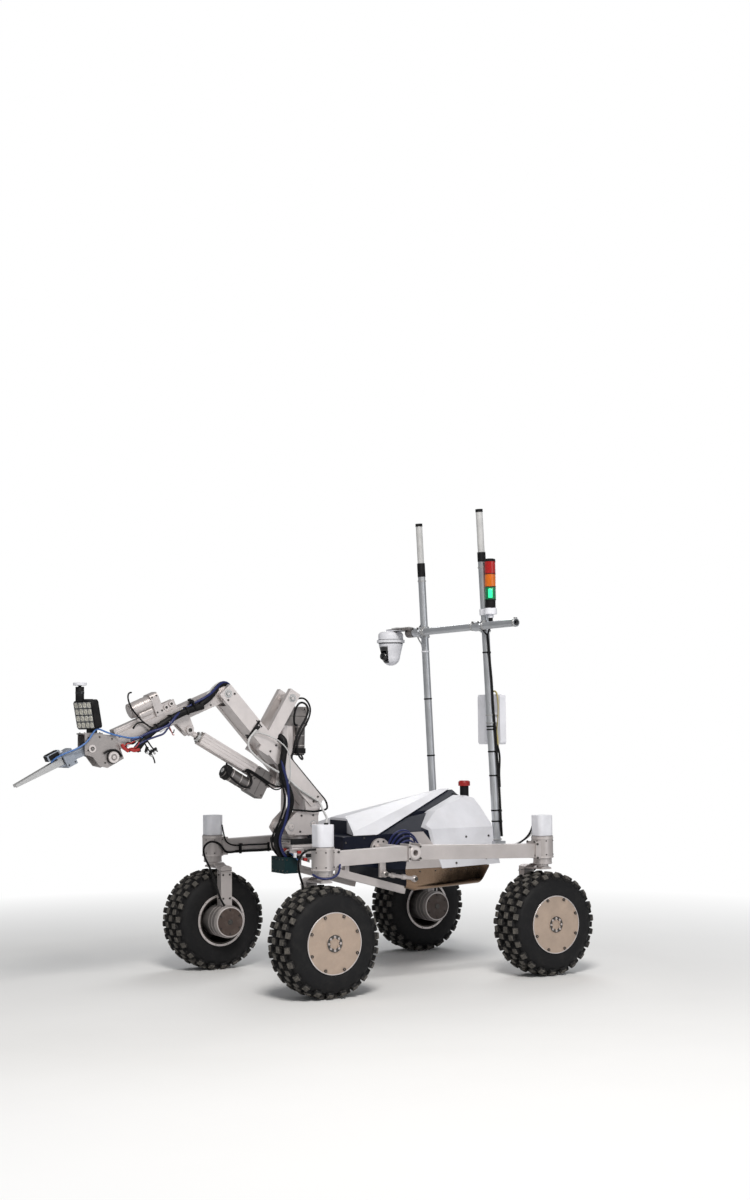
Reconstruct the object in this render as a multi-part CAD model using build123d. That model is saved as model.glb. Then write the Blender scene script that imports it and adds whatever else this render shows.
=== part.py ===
from build123d import *
import os
from math import cos, hypot, pi, radians, sin, tan

# Four-wheel rover with a mast pair and a manipulator arm. Millimetres.
# +X forward, +Y to the rover's left, +Z up. Places are given from the floor
# point midway between the wheels, and origin_x moves them to the box's middle.

# Running gaps
RUN_GAP = 0.3
SEAT_GAP = 0.2
PLATE_T = 5.0

# Wheels
WHEELBASE = 820.0
TRACK = 760.0
TYRE_R = 165.0
TYRE_HALF_W = 65.0
TREAD_HALF_W = 42.0
SHOULDER_DROP = 13.0
SHOULDER_IN = 4.0
LUG_HIGH = 12.0
LUG_ROOT = 2.0
LUG_COUNT = 22
LUG_TURN = 7.4
LUG_START = 2.0
LUG_TOP_END = 47.0
SIDEWALL_R = 128.0
BEAD_R = 79.0
BEAD_IN = 5.0
RIM_WALL = 5.0
COVER_R = 91.5
COVER_T = 6.0
HUB_BOSS_R = 30.0
HUB_BOSS_DEPTH = 40.0
AXLE_R = 15.0
INNER_LIP_R = 86.0
INNER_LIP_T = 4.0
COVER_BOLTS = 8
COVER_BOLT_R = 4.0
COVER_BOLT_PROUD = 2.0
COVER_RING_R = 14.0

# Wheel corners: name, side along X, side along Y
CORNERS = (
    ("front_left", 1, 1),
    ("front_right", 1, -1),
    ("rear_left", -1, 1),
    ("rear_right", -1, -1),
)

# Steering module, places from the wheel's middle plane
MOTOR_R = 53.0
MOTOR_INBOARD = 130.0
MOTOR_OUTBOARD = -16.0
MOTOR_EDGE = 4.0
STRUT_INBOARD = 89.0
STRUT_THICK = 30.0
STRUT_WIDE = 40.0
STRUT_TAPER = 24.0
ARM_TOP_Z = 348.0
TYRE_TOP_GAP = 8.0
STUB_R = 16.0
STUB_DEPTH = 30.0
COLUMN_R = 35.0
COLUMN_FOOT_R = 30.0
COLUMN_FOOT_Z = 355.0
COLUMN_LOW_Z = 375.0
COLUMN_TOP_Z = 445.0
CAP_WIDE = 57.0
CAP_CORNER_R = 16.0
CAP_TOP_Z = 512.0

# Rockers: (x, z) of the beams' centre line
BEAM_HIGH = 44.0
BEAM_THICK = 40.0
PIVOT_X = 97.0
PIVOT_Z = 415.0
FRONT_BEAM_Z = 408.0
REAR_BEAM_Z = 399.0
PIVOT_HALF = 24.0
PIVOT_BARREL_R = 22.0
PIVOT_BORE_R = 9.0
PIVOT_SHAFT_R = 18.0
PIVOT_FLANGE_R = 34.0
PIVOT_FLANGE_T = 10.0
CLAMP_T = 6.0
CLAMP_PROUD = 5.0
FLANGE_T = 8.0
FLANGE_HIGH = 60.0
COLUMN_SADDLE = 10.0

# Body
BODY_HALF_W = 190.0
SKIN_T = 4.0
PAN_HALF_W = BODY_HALF_W - SKIN_T
PAN_EDGE_R = 20.0
PAN_LOW_Z = 290.0
SPINE_HALF_W = 92.0
COVER_INSET = 4.0
# Outlines in the X-Z plane: inner block, its spine, white covers, pan, side sheets
CORE_OUTLINE = ((212, 456), (212, 372), (20, 345), (-336, 345), (-344, 470), (-334, 554),
                (-300, 565), (-151, 519), (-60, 508), (105, 456))
SPINE_OUTLINE = ((137, 456), (-344, 456), (-334, 566), (-322, 566), (-312, 594), (126, 506), (137, 500))
HOOD_OUTLINE = ((218, 460), (105, 460), (-318, 597), (-318, 604), (127, 514))
# The hood's front edge in plan, (x, y) of its outer and inner corners
HOOD_NOSE = ((191, BODY_HALF_W), (137, 55))
REAR_OUTLINE = ((-71, 471), (-151, 525), (-302, 571), (-333, 561), (-347, 481), (-352, 411),
                (-377, 347), (-145, 341), (-111, 421))
PAN_OUTLINE = ((-4, 344), (-10, 284), (-46, 273), (-298, 284), (-334, 338), (-334, 344))
PAN_SHEET = ((-26, 463), (-75, 463), (-114, 419), (-147, 344.4), (-4, 344.4))
SIDE_OUTLINE = ((226, 458), (226, 372), (20, 345), (-5, 345), (-27, 465), (-70, 470),
                (-100, 490), (60, 490), (103, 458))
# Facets of the white covers: one point (x, y, z) and the outward slope (x, y, z)
HOOD_FACETS = (
    ((222, BODY_HALF_W, 460), (0.174, 0.221, 0.959)),
    ((222, BODY_HALF_W, 460), (0.014, 0.546, 0.838)),
)
REAR_TOP_FACET = ((-80, BODY_HALF_W, 470), (0.0, 0.747, 0.665))
REAR_FACETS = (
    REAR_TOP_FACET,
    ((-333, BODY_HALF_W - 90, 561), (-0.80, 0.30, 0.52)),
    ((-71, BODY_HALF_W - 12, 471), (0.75, 0.62, 0.22)),
    ((-128, BODY_HALF_W, 380), (0.72, 0.66, -0.20)),
)

# Braces below the body
BRACE_Y = 158.0
BRACE_THICK = 24.0
BRACE_FRONT = (236.0, 346.0)
BRACE_REAR = (-14.0, 276.0)
BRACE_LUG_LONG = 16.0

# Differential linkage, one each side
LINK_Y = BODY_HALF_W + 34.0
LINK_FRONT = (97.0, 338.0)
LINK_REAR = (-14.0, 317.0)
LEVER_WIDE = 22.0
LEVER_T = 8.0
LINK_R = 6.0
LINK_BALL_R = 11.0
LINK_STUD_R = 5.0

# Arm base
YAW_X = 302.0
BASE_X0 = 212.2
BASE_X1 = 352.0
BASE_HALF_W = 74.0
BASE_Z = 424.0
BASE_T = 8.0
GUSSET_Y = 60.0
GUSSET_T = 6.0
GUSSET_LOW_Z = 362.0
GUSSET_TIP_Z = 408.0
HANGER_HALF_W = 20.0
HANGER_LONG = 26.0
BEARING_R = 42.0
BEARING_TOP_Z = 456.0
TABLE_R = 46.0
TABLE_T = 8.0
TEAL_X0 = 310.0
TEAL_X1 = 362.0
TEAL_HALF_W = 46.0
TEAL_LOW_Z = 340.0
TEAL_TOP_Z = 392.0

# Arm pivots (x, z)
SHOULDER = (262.0, 495.0)
ACTUATOR_FOOT = (342.0, 489.0)
ELBOW = (560.0, 913.5)
HORN_BOLT = (331.0, 899.5)
ELBOW_BASE = (374.0, 626.0)
ELBOW_EYE = (681.0, 800.0)
FOREARM_AIM = (980.0, 742.0)
WRIST_START = 392.0
WRIST_PITCH = (1007.0, 747.0)

# Shoulder bracket
BRACKET_Y = 50.0
BRACKET_CORNER_R = 6.0
FOOT_EAR_R = 13.0
BOLT_PROUD = 4.0
BRACKET_OUTLINE = ((321, 536), (243, 527), (243, 464), (352, 464), (366, 484), (352, 508))

DECK_FRONT_X = 330.0
DECK_T = 6.0

# Boom
BOOM_LOW = (234.5, 554.0)
BOOM_TOP = (571.0, 926.5)
BOOM_DEEP = 50.0
BOOM_HALF_W = 48.0
BOOM_SIDE_T = 21.0
BOOM_WEB_T = 4.0
BOOM_CUT = 18.0
BOOM_SLOT_END = 258.0
KNEE_HALF_W = 32.0
KNEE_LAP = 4.0
KNEE_LONG = 60.0
# The knee plates' lower corners from the shoulder's axis, (x, z)
KNEE_END = ((16, 0), (0, -18), (-18, 0))
KNEE_T = 12.0
BOOM_WEB_END = 62.0
BASE_EAR_LONG = 34.0
BASE_EAR_R = 15.0
EAR_LAP = 2.0
EAR_TIP_HALF = 6.0
HORN_ROOT = (432.0, 735.0)
HORN_DEEP = 40.0
HORN_THICK = 20.0
HORN_BURIED = 10.0
HORN_BEYOND = 24.0
PIN_R = 8.0
PIN_HEAD_R = 11.0
PIN_HEAD_T = 5.0

# Forearm
FOREARM_DEEP = 46.0
FOREARM_HALF_W = 24.0
EAR_T = 6.0
EYE_HALF_W = 10.0
EYE_R = 15.0
EYE_BORE_R = 8.0
EAR_GAP = 2.0
EAR_R = 17.0

# Linear actuators
BARREL_SQ = 38.0
ROD_R = 9.0
GEARBOX_LONG = 62.0
GEARBOX_START = 26.0
MOTOR_OFFSET = 50.0
LINEAR_MOTOR_R = 21.0
LINEAR_MOTOR_LONG = 92.0
SHOULDER_BARREL_LONG = 190.0
ELBOW_BARREL_LONG = 276.0
SHOULDER_ROD_BACK = 54.0
ELBOW_ROD_BACK = 30.0
GLAND_R = 14.0
GLAND_LONG = 12.0

# Wrist actuator on the forearm's back, places along the forearm and above its middle
CLEVIS_START = 166.0
CLEVIS_TOP = 50.0
CLEVIS_SADDLE = 32.0
CLEVIS_Y = 8.0
CLEVIS_T = 6.0
CLEVIS_BOLTS = ((180.0, 40.0), (200.0, 36.0))
CLEVIS_BOLT_R = 7.0
END_PLATE_START = 215.0
END_PLATE_LONG = 28.0
END_PLATE_TOP = 94.0
END_PLATE_HALF_W = 26.0
END_PLATE_CORNER_R = 12.0
UPPER_CAN_R = 24.0
UPPER_CAN_LIFT = 68.0
UPPER_CAN_END = 312.0
LOWER_CAN_R = 19.0
LOWER_CAN_LIFT = 43.0
LOWER_CAN_END = 292.0
BARREL_TOP = 39.0
BARREL_HALF_W = 17.0
BARREL_END = 388.0

# Wrist
ROLL_SQ = 42.0
ROLL_LONG = 30.0
ROLL_DISC_R = 21.0
ROLL_DISC_LONG = 8.0
WRIST_HALF_W = 30.0
WRIST_PLATE_T = 4.0
WRIST_OUTLINE = ((932, 786), (972, 790), (1031, 790), (1031, 730), (1005, 722), (983, 694), (958, 688),
                 (905, 716))
PULLEY = (942.0, 720.0)
PULLEY_R = 18.0
PULLEY_T = 10.0
WRIST_PIN_R = 6.0
GRIP_BLOCK = (1076.0, 720.0)
GRIP_TIP = (1238.0, 640.0)
GRIP_BLOCK_LONG = 34.0
GRIP_BLOCK_DEEP = 50.0
GRIP_HALF_W = 24.0
GRIP_BOSS_R = 14.0
GRIP_NECK_DEEP = 24.0
GRIP_NECK_HALF_W = 18.0
GRIP_DRIVE_END = 60.0
GRIP_DRIVE_TOP = 36.0
GRIP_DRIVE_HALF_W = 15.0
FINGER_PIVOT_AT = 26.0
FINGER_PIVOT_R = 2.5
FINGER_PIVOT_Y = 8.5
FINGER_LIP_T = 4.0
FINGER_LIP_R = 7.0
FINGER_LIP_HALF_W = 16.0
FINGER_ROOT_R = 6.0
FINGER_ROOT_IN = 2.0
FINGER_HALF_GAP = 6.0
FINGER_DEEP = 22.0
FINGER_TIP_DEEP = 9.0
FINGER_T = 7.0
FINGER_ROOT_GAP = 2.0

# Work lamp and small camera
LAMP_SHELF_X0 = 972.0
LAMP_SHELF_X1 = 1036.0
LAMP_SHELF_Z = 794.0
LAMP_CENTRE = (1021.0, 848.0)
LAMP_TILT = 11.0
LAMP_YAW = 12.0
LAMP_WIDE = 100.0
LAMP_HIGH = 88.0
LAMP_DEEP = 24.0
LAMP_CORNER_R = 10.0
LED_GRID = 4
LED_R = 8.5
LED_PITCH_Y = 23.0
LED_PITCH_Z = 20.5
LED_PROUD = 2.0
LAMP_FOOT_LONG = 24.0
LAMP_FOOT_HALF_W = 14.0
SPY_X = 1036.0
SPY_ARM_T = 6.0
SPY_ARM_HALF_W = 9.0
SPY_LOW_Z = 897.0
SPY_TOP_Z = 934.0
SPY_R = 13.0
SPY_STALK_R = 5.0
SPY_CAP_Z = 941.0
SPY_CAP_R = 20.0
SPY_CAP_T = 5.0

# Masts
MAST_Y = BODY_HALF_W - 2.0
MAST_R = 13.0
MAST_FOOT = (-366.0, 415.0)
MAST_LEVEL = (-332.0, 1138.0)
LEFT_MAST_TOP_Z = 1356.0
RIGHT_MAST_TOP_Z = 1336.0
LEFT_COUPLER_LONG = 32.0
RIGHT_COUPLER_LONG = 48.0
COUPLER_R = 14.0
LEFT_ANTENNA_LONG = 136.0
RIGHT_ANTENNA_LONG = 132.0
ANTENNA_R = 11.5
ANTENNA_TIP_LONG = 10.0
CROSSBAR_R = 12.5
CROSSBAR_WALL = 2.0
CROSSBAR_X = MAST_LEVEL[0] + 26.0
CROSSBAR_NEAR_Y = MAST_Y + 213.0
CROSSBAR_FAR_Y = -(MAST_Y + 40.0)
CLAMP_RING_T = 4.0
CLAMP_RING_LONG = 20.0
CLAMP_BRIDGE_HALF_W = 9.0
CLAMP_BRIDGE_HALF_H = 12.0
FOOT_WIDE = 40.0
FOOT_LONG = 42.0
FOOT_LOW = 34.0
FOOT_HIGH = 6.0

# Stack light
STACK_X = -324.0
STACK_Y = MAST_Y + 44.0
STACK_R = 18.0
STACK_BASE_Z = 1196.0
STACK_BASE_H = 28.0
STACK_BASE_R = 16.5
STACK_LENS_H = 43.0
STACK_TOP_H = 7.0
STACK_BRACKET_T = 20.0
STACK_BRACKET_HALF_W = 15.0
STACK_PLINTH_R = 21.0
STACK_SOCKET_R = 10.0
STACK_SOCKET_H = 12.0

# Panel antenna on the left mast
PANEL_WIDE = 130.0
PANEL_INBOARD = 34.0
PANEL_STANDOFF = 5.0
PANEL_CORNER_R = 10.0
PANEL_TAB_HALF_W = 10.0
PANEL_TAB_HALF_H = 22.0
PANEL_HIGH = 168.0
PANEL_THICK = 24.0
PANEL_Z = 826.0

# Dome camera under the crossbar's right end
DOME_X = CROSSBAR_X + 30.0
DOME_Y = CROSSBAR_FAR_Y - 98.0
DOME_TOP_Z = 1147.0
DOME_CAP_H = 40.0
DOME_R = 50.0
DOME_BRIM_H = 10.0
DOME_CAP_R = 45.0
DOME_CAP_EDGE_R = 14.0
DOME_RING_H = 4.0
DOME_RING_R = 38.0
DOME_SHELL_H = 78.0
DOME_SHELL_TOP_R = 44.0
DOME_SHELL_LOW_R = 33.0
DOME_LENS_R = 17.0
DOME_LENS_FORWARD = 24.0
DOME_LENS_PIN_R = 3.0
DOME_LENS_PIN_LONG = 1.7
DOME_SLOT_SIDE = 2.0
DOME_TILT_Z = 1058.0
DOME_ARM_T = 8.0
DOME_ARM_HALF_W = 12.0
DOME_SLEEVE_LONG = 24.0
DOME_SLEEVE_LAP = 14.0

# Cables, tubes of straight runs joined by arcs: radius, and how near an arc reaches to its run's middle
MAST_CABLE_R = 4.0
SHEATH_R = 11.0
ARC_SHARE = 0.45
# Down the left mast: (height, x and y from the mast's centre)
MAST_CABLE_ROUTE = ((1112, 5.0, 16.7), (1030, 2.0, 17.3), (946, -2.5, 17.2), (868, -1.0, 17.4), (792, -6.0, 16.3),
                    (712, -8.0, 15.4), (640, -11.0, 13.5), (560, -14.0, 10.3), (488, -11.0, 13.5), (436, -15.5, 7.9))
# Along the forearm's left side: (along, above its middle, outboard)
SHEATH_ROUTE = ((92, -4, 35.5), (150, 3, 35.4), (208, 1, 38), (262, -7, 35.4), (312, -22, 37), (352, -44, 35.4))

# Emergency stop
STOP_X = -324.0
STOP_Y = 60.0
STOP_FOOT_Z = 560.0
STOP_BASE_R = 15.0
STOP_BASE_H = 42.0
STOP_HEAD_R = 20.0
STOP_HEAD_H = 18.0

# By side: 1 is the left mast, -1 the right one
MAST_TOP_Z = {1: LEFT_MAST_TOP_Z, -1: RIGHT_MAST_TOP_Z}
COUPLER_LONG = {1: LEFT_COUPLER_LONG, -1: RIGHT_COUPLER_LONG}
ANTENNA_LONG = {1: LEFT_ANTENNA_LONG, -1: RIGHT_ANTENNA_LONG}

FAR = 2000.0
Y_AXIS = (0, 1, 0)


def box_at(x0, x1, y0, y1, z0, z1):
    """A box between two corners."""
    centre = ((x0 + x1) / 2, (y0 + y1) / 2, (z0 + z1) / 2)
    return Pos(*centre) * Box(x1 - x0, y1 - y0, z1 - z0)


def rod(start, end, radius):
    """A round bar from one point to another."""
    run = Vector(*end) - Vector(*start)
    plane = Plane(origin=start, z_dir=run)
    return plane * Cylinder(radius, run.length, align=(Align.CENTER, Align.CENTER, Align.MIN))


def rod_y(point, radius, y0, y1):
    """A round bar along Y through the (x, z) point."""
    low, high = min(y0, y1), max(y0, y1)
    return rod((point[0], low, point[1]), (point[0], high, point[1]), radius)


def plate(outline, y0, y1, corner=0.0):
    """A flat plate: an (x, z) outline with rounded corners, from y0 to y1."""
    low, high = min(y0, y1), max(y0, y1)
    edge = Polyline(*[(x, -z) for x, z in outline], close=True)
    face = make_face(edge)
    if corner:
        face = fillet(face.vertices(), corner)
    plane = Plane(origin=(0, low, 0), x_dir=(1, 0, 0), z_dir=Y_AXIS)
    return extrude(plane * face, high - low, dir=Y_AXIS)


def both_sides(make):
    """The same piece on the left and on the right."""
    left = make()
    return [left, mirror(left, about=Plane.XZ)]


def along(start, end):
    """Unit step and length from one (x, z) point to another."""
    dx, dz = end[0] - start[0], end[1] - start[1]
    run = hypot(dx, dz)
    return (dx / run, dz / run), run


def shift(point, step, far, side=0.0):
    """The (x, z) point far along a step, and side across it, to its upper side."""
    return (point[0] + step[0] * far - step[1] * side, point[1] + step[1] * far + step[0] * side)


def bar(start, end, deep, y0, y1, before=0.0, after=0.0):
    """A rectangular bar in the X-Z plane between two points, its ends square."""
    step, run = along(start, end)
    corners = [shift(start, step, far, side) for far, side in
               ((-before, -deep / 2), (run + after, -deep / 2), (run + after, deep / 2), (-before, deep / 2))]
    return plate(corners, y0, y1)


def cut_facet(solid, point, slope):
    """Cuts away what lies beyond a plane, on both sides of the body."""
    for side in (1, -1):
        origin, normal = [(place[0], side * place[1], place[2]) for place in (point, slope)]
        plane = Plane(origin=origin, z_dir=normal)
        waste = plane * Box(FAR, FAR, FAR, align=(Align.CENTER, Align.CENTER, Align.MIN))
        solid = solid - waste
    return solid


def wheel_plane(profile):
    """Turns a profile of (radius, outboard) points about the axle."""
    face = make_face(Polyline(*profile, close=True))
    plane = Plane(origin=(0, 0, 0), x_dir=(1, 0, 0), z_dir=(0, 0, 1))
    return revolve(plane * face, Axis.Y)


def ring_points(radius, y):
    """Corners of the tread's many-sided ring, its flat sides at a radius."""
    corner = radius / cos(radians(180 / LUG_COUNT))
    turns = [radians(360 / LUG_COUNT * (index + 0.5) - 90) for index in range(LUG_COUNT)]
    return [(corner * cos(turn), y, corner * sin(turn)) for turn in turns]


def tread_ring():
    """The tread's floor: one flat for each pair of lugs, sloping at both shoulders."""
    tread = TYRE_R - LUG_HIGH
    edge = TYRE_HALF_W - SHOULDER_IN
    low = tread - SHOULDER_DROP
    rings = ((low, -edge), (tread, -TREAD_HALF_W), (tread, TREAD_HALF_W), (low, edge))
    faces = [make_face(Polyline(*ring_points(radius, y), close=True)) for radius, y in rings]
    return loft(faces, ruled=True)


def tread_lugs():
    """Two rows of lugs, half a step apart, from the tread's middle over its shoulders."""
    half_turn = radians(LUG_TURN / 2)
    top, half_long = TYRE_R * cos(half_turn), TYRE_R * sin(half_turn)
    tread = TYRE_R - LUG_HIGH
    edge = TYRE_HALF_W - SHOULDER_IN
    outline = ((LUG_START, tread - LUG_ROOT), (LUG_START, top), (LUG_TOP_END, top),
               (edge - SEAT_GAP, tread - SHOULDER_DROP - LUG_ROOT))
    block = extrude(Plane.YZ * make_face(Polyline(*outline, close=True)), half_long, both=True)
    lugs = []
    for side in (1, -1):
        lug = block if side > 0 else mirror(block, about=Plane.XZ)
        for index in range(LUG_COUNT):
            lugs.append(Rot(0, 90 / LUG_COUNT * (4 * index + side), 0) * lug)
    return lugs


def tyre():
    """The tyre's carcass about the Y axis with its rows of lugs."""
    seat = BEAD_R + RUN_GAP
    cover = COVER_R + RUN_GAP
    edge = TYRE_HALF_W - BEAD_IN
    face_out = edge - RUN_GAP
    lip = -(edge + RIM_WALL - INNER_LIP_T) + RUN_GAP
    shoulder = TYRE_R - LUG_HIGH - SHOULDER_DROP - LUG_ROOT
    carcass = wheel_plane((
        (seat, lip), (seat, face_out), (cover, face_out), (cover, edge + 1),
        (SIDEWALL_R, TYRE_HALF_W), (shoulder, TYRE_HALF_W - SHOULDER_IN),
        (shoulder, -TYRE_HALF_W + SHOULDER_IN), (SIDEWALL_R, -TYRE_HALF_W),
        (INNER_LIP_R + RIM_WALL, -edge - 1), (INNER_LIP_R + RUN_GAP, lip)))
    bore = rod_y((0, 0), SIDEWALL_R, -FAR, FAR)
    return carcass + (tread_ring() - bore) + tread_lugs()


def rim():
    """Rim, web cover and hub boss in one turned piece, with the cover's bolts."""
    edge = TYRE_HALF_W - BEAD_IN
    inner = -(edge + RIM_WALL)
    bore = AXLE_R + RUN_GAP
    boss_end = edge - HUB_BOSS_DEPTH
    body = wheel_plane((
        (0, edge), (bore, edge), (bore, boss_end), (HUB_BOSS_R, boss_end), (HUB_BOSS_R, edge - 2),
        (BEAD_R - RIM_WALL, edge - 2), (BEAD_R - RIM_WALL, inner), (INNER_LIP_R, inner),
        (INNER_LIP_R, inner + INNER_LIP_T), (BEAD_R, inner + INNER_LIP_T), (BEAD_R, edge),
        (COVER_R, edge), (COVER_R, edge + COVER_T), (0, edge + COVER_T)))
    heads = []
    for ring, count, radius in ((COVER_R - 8, COVER_BOLTS, COVER_BOLT_R), (COVER_RING_R, 6, COVER_BOLT_R)):
        for i in range(count):
            turn = radians(360 / count * (i + 0.5))
            spot = (ring * cos(turn), ring * sin(turn))
            heads.append(rod_y(spot, radius, edge + COVER_T - 1, edge + COVER_T + COVER_BOLT_PROUD))
    return body + heads


def hub_motor():
    """Motor drum with the axle that carries the wheel."""
    drum = rod_y((0, 0), MOTOR_R, -MOTOR_INBOARD, MOTOR_OUTBOARD)
    drum = chamfer(drum.edges().filter_by(GeomType.CIRCLE), MOTOR_EDGE)
    axle = rod_y((0, 0), AXLE_R, MOTOR_OUTBOARD - 1, TYRE_HALF_W - BEAD_IN - 2)
    return drum + axle


def strut():
    """Steering stub, arm over the tyre and leg down to the motor, left side."""
    half = STRUT_WIDE / 2
    leg_in = -(STRUT_INBOARD + STRUT_THICK / 2)
    leg_out = -(STRUT_INBOARD - STRUT_THICK / 2)
    axle_z = TYRE_R
    low = TYRE_R * 2 + TYRE_TOP_GAP
    top = box_at(-half, half, leg_in, STUB_R + 4, low, ARM_TOP_Z)
    for side in (1, -1):
        plane = Plane(origin=(side * half * 0.4, 0, ARM_TOP_Z), z_dir=(side * 0.42, 0, 0.91))
        top = top - plane * Box(FAR, FAR, FAR, align=(Align.CENTER, Align.CENTER, Align.MIN))
    leg = box_at(-half, half, leg_in, leg_out, axle_z + MOTOR_R - 14, low + 4)
    stub = rod((0, 0, low + 2), (0, 0, COLUMN_LOW_Z + STUB_DEPTH), STUB_R)
    leg = leg - rod_y((0, axle_z), MOTOR_R + SEAT_GAP, -FAR, FAR)
    return stub + top + leg


def column_housing():
    """Steering motor housing with a bore for the strut's stub."""
    body = rod((0, 0, COLUMN_LOW_Z), (0, 0, COLUMN_TOP_Z), COLUMN_R)
    body = body + rod((0, 0, COLUMN_FOOT_Z), (0, 0, COLUMN_LOW_Z + 1), COLUMN_FOOT_R)
    bore = rod((0, 0, COLUMN_FOOT_Z - 1), (0, 0, COLUMN_LOW_Z + STUB_DEPTH + 2), STUB_R + RUN_GAP)
    return body - bore


def column_cap():
    """White rounded-square cover over the steering motor."""
    sketch = Plane(origin=(0, 0, COLUMN_TOP_Z)) * RectangleRounded(CAP_WIDE, CAP_WIDE, CAP_CORNER_R)
    return extrude(sketch, CAP_TOP_Z - COLUMN_TOP_Z)


def beams_left():
    """Front and rear rocker beams of the left side, with end flanges."""
    y0, y1 = TRACK / 2 - BEAM_THICK / 2, TRACK / 2 + BEAM_THICK / 2
    pivot = (PIVOT_X, PIVOT_Z)
    made = []
    for side, end_z in ((1, FRONT_BEAM_Z), (-1, REAR_BEAM_Z)):
        end = (side * (WHEELBASE / 2 - COLUMN_R - COLUMN_SADDLE), end_z)
        step, run = along(pivot, end)
        start = shift(pivot, step, PIVOT_HALF)
        tube = bar(start, end, BEAM_HIGH, y0, y1, 6)
        tube = tube - box_at(PIVOT_X - PIVOT_HALF, PIVOT_X + PIVOT_HALF, -FAR, FAR, 0, FAR)
        saddle = box_at(min(end[0], side * WHEELBASE / 2), max(end[0], side * WHEELBASE / 2),
                        y0 - 6, y1 + 6, end_z - FLANGE_HIGH / 2, end_z + FLANGE_HIGH / 2)
        saddle = saddle & box_at(-FAR, FAR, y0 - 6, y1 + 6, COLUMN_LOW_Z, COLUMN_TOP_Z)
        column = rod((side * WHEELBASE / 2, TRACK / 2, COLUMN_LOW_Z - 9),
                     (side * WHEELBASE / 2, TRACK / 2, COLUMN_TOP_Z + 9), COLUMN_R + SEAT_GAP)
        made.append(tube + (saddle - column))
    return made


def pivot_left():
    """Bearing barrel, clamp plates and shaft that join rocker and body."""
    y0, y1 = TRACK / 2 - BEAM_THICK / 2, TRACK / 2 + BEAM_THICK / 2
    centre = (PIVOT_X, PIVOT_Z)
    barrel = rod_y(centre, PIVOT_BARREL_R, y0 - CLAMP_PROUD, y1 + CLAMP_PROUD)
    plates = []
    for side in (1, -1):
        near = PIVOT_X + side * (PIVOT_HALF - CLAMP_T)
        far = PIVOT_X + side * (PIVOT_HALF - SEAT_GAP)
        plates.append(box_at(min(near, far), max(near, far), y0 - CLAMP_PROUD, y1 + CLAMP_PROUD,
                             PIVOT_Z - BEAM_HIGH / 2 - CLAMP_PROUD, PIVOT_Z + BEAM_HIGH / 2 + CLAMP_PROUD))
    web = box_at(PIVOT_X - PIVOT_HALF + 2, PIVOT_X + PIVOT_HALF - 2, y0, y1 - 8, PIVOT_Z - 12, PIVOT_Z + 12)
    shaft = rod_y(centre, PIVOT_SHAFT_R, BODY_HALF_W, y0)
    flange = rod_y(centre, PIVOT_FLANGE_R, BODY_HALF_W, BODY_HALF_W + PIVOT_FLANGE_T)
    bore = rod_y(centre, PIVOT_BORE_R, y1 - 14, y1 + FAR)
    lever_y = LINK_Y - LINK_BALL_R - 1 - SEAT_GAP
    lever = bar(LINK_FRONT, centre, LEVER_WIDE, lever_y - LEVER_T, lever_y, LEVER_WIDE / 2)
    return (barrel + plates + web + shaft + flange + lever) - bore


def below_covers(solid):
    """Keeps a piece a cover's thickness inside the covers' sloping faces."""
    for point, slope in (*HOOD_FACETS, REAR_TOP_FACET):
        lowered = [place - COVER_INSET * share for place, share in zip(point, slope)]
        solid = cut_facet(solid, lowered, slope)
    return solid


def core():
    """Inner body block with the spine that carries the hood."""
    half = BODY_HALF_W - 2 * SKIN_T - SEAT_GAP
    block = plate(CORE_OUTLINE, -half, half) + plate(SPINE_OUTLINE, -SPINE_HALF_W, SPINE_HALF_W)
    return below_covers(block)


def hood_form():
    """The front hood's outer form."""
    form = plate(HOOD_OUTLINE, -BODY_HALF_W, BODY_HALF_W)
    for point, slope in HOOD_FACETS:
        form = cut_facet(form, point, slope)
    (outer_x, outer_y), (inner_x, inner_y) = HOOD_NOSE
    notch = Polyline((FAR, outer_y), (outer_x, outer_y), (inner_x, inner_y), (inner_x, -inner_y),
                     (outer_x, -outer_y), (FAR, -outer_y), close=True)
    return form - extrude(make_face(notch), FAR)


def rear_form():
    """The rear cover's outer form."""
    form = plate(REAR_OUTLINE, -BODY_HALF_W, BODY_HALF_W)
    for point, slope in REAR_FACETS:
        form = cut_facet(form, point, slope)
    return form


def belly_pan():
    """Polished pan with rounded long edges, cut clear of the rear cover."""
    pan = plate(PAN_OUTLINE, -PAN_HALF_W, PAN_HALF_W)
    sides = [edge for edge in pan.edges() if abs(edge.center().Y) > PAN_HALF_W - 1]
    return fillet([edge for edge in sides if edge.center().Z < PAN_LOW_Z], PAN_EDGE_R)


def stop_hole():
    """Clearance round the emergency stop's stem."""
    return rod((STOP_X, STOP_Y, STOP_FOOT_Z - SEAT_GAP), (STOP_X, STOP_Y, FAR), STOP_BASE_R + SEAT_GAP)


def brace_left():
    """Square tube from the body's nose down to the belly pan."""
    y0, y1 = BRACE_Y - BRACE_THICK / 2, BRACE_Y + BRACE_THICK / 2
    tube = bar(BRACE_REAR, BRACE_FRONT, BRACE_THICK, y0, y1)
    front_x, top_z = CORE_OUTLINE[1]
    lug = box_at(front_x - BRACE_LUG_LONG, front_x, y0, y1, BRACE_FRONT[1] - BRACE_THICK / 2, top_z)
    body = [plate(outline, -PAN_HALF_W, PAN_HALF_W) for outline in (PAN_OUTLINE, CORE_OUTLINE)]
    return (tube + lug) - body


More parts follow.
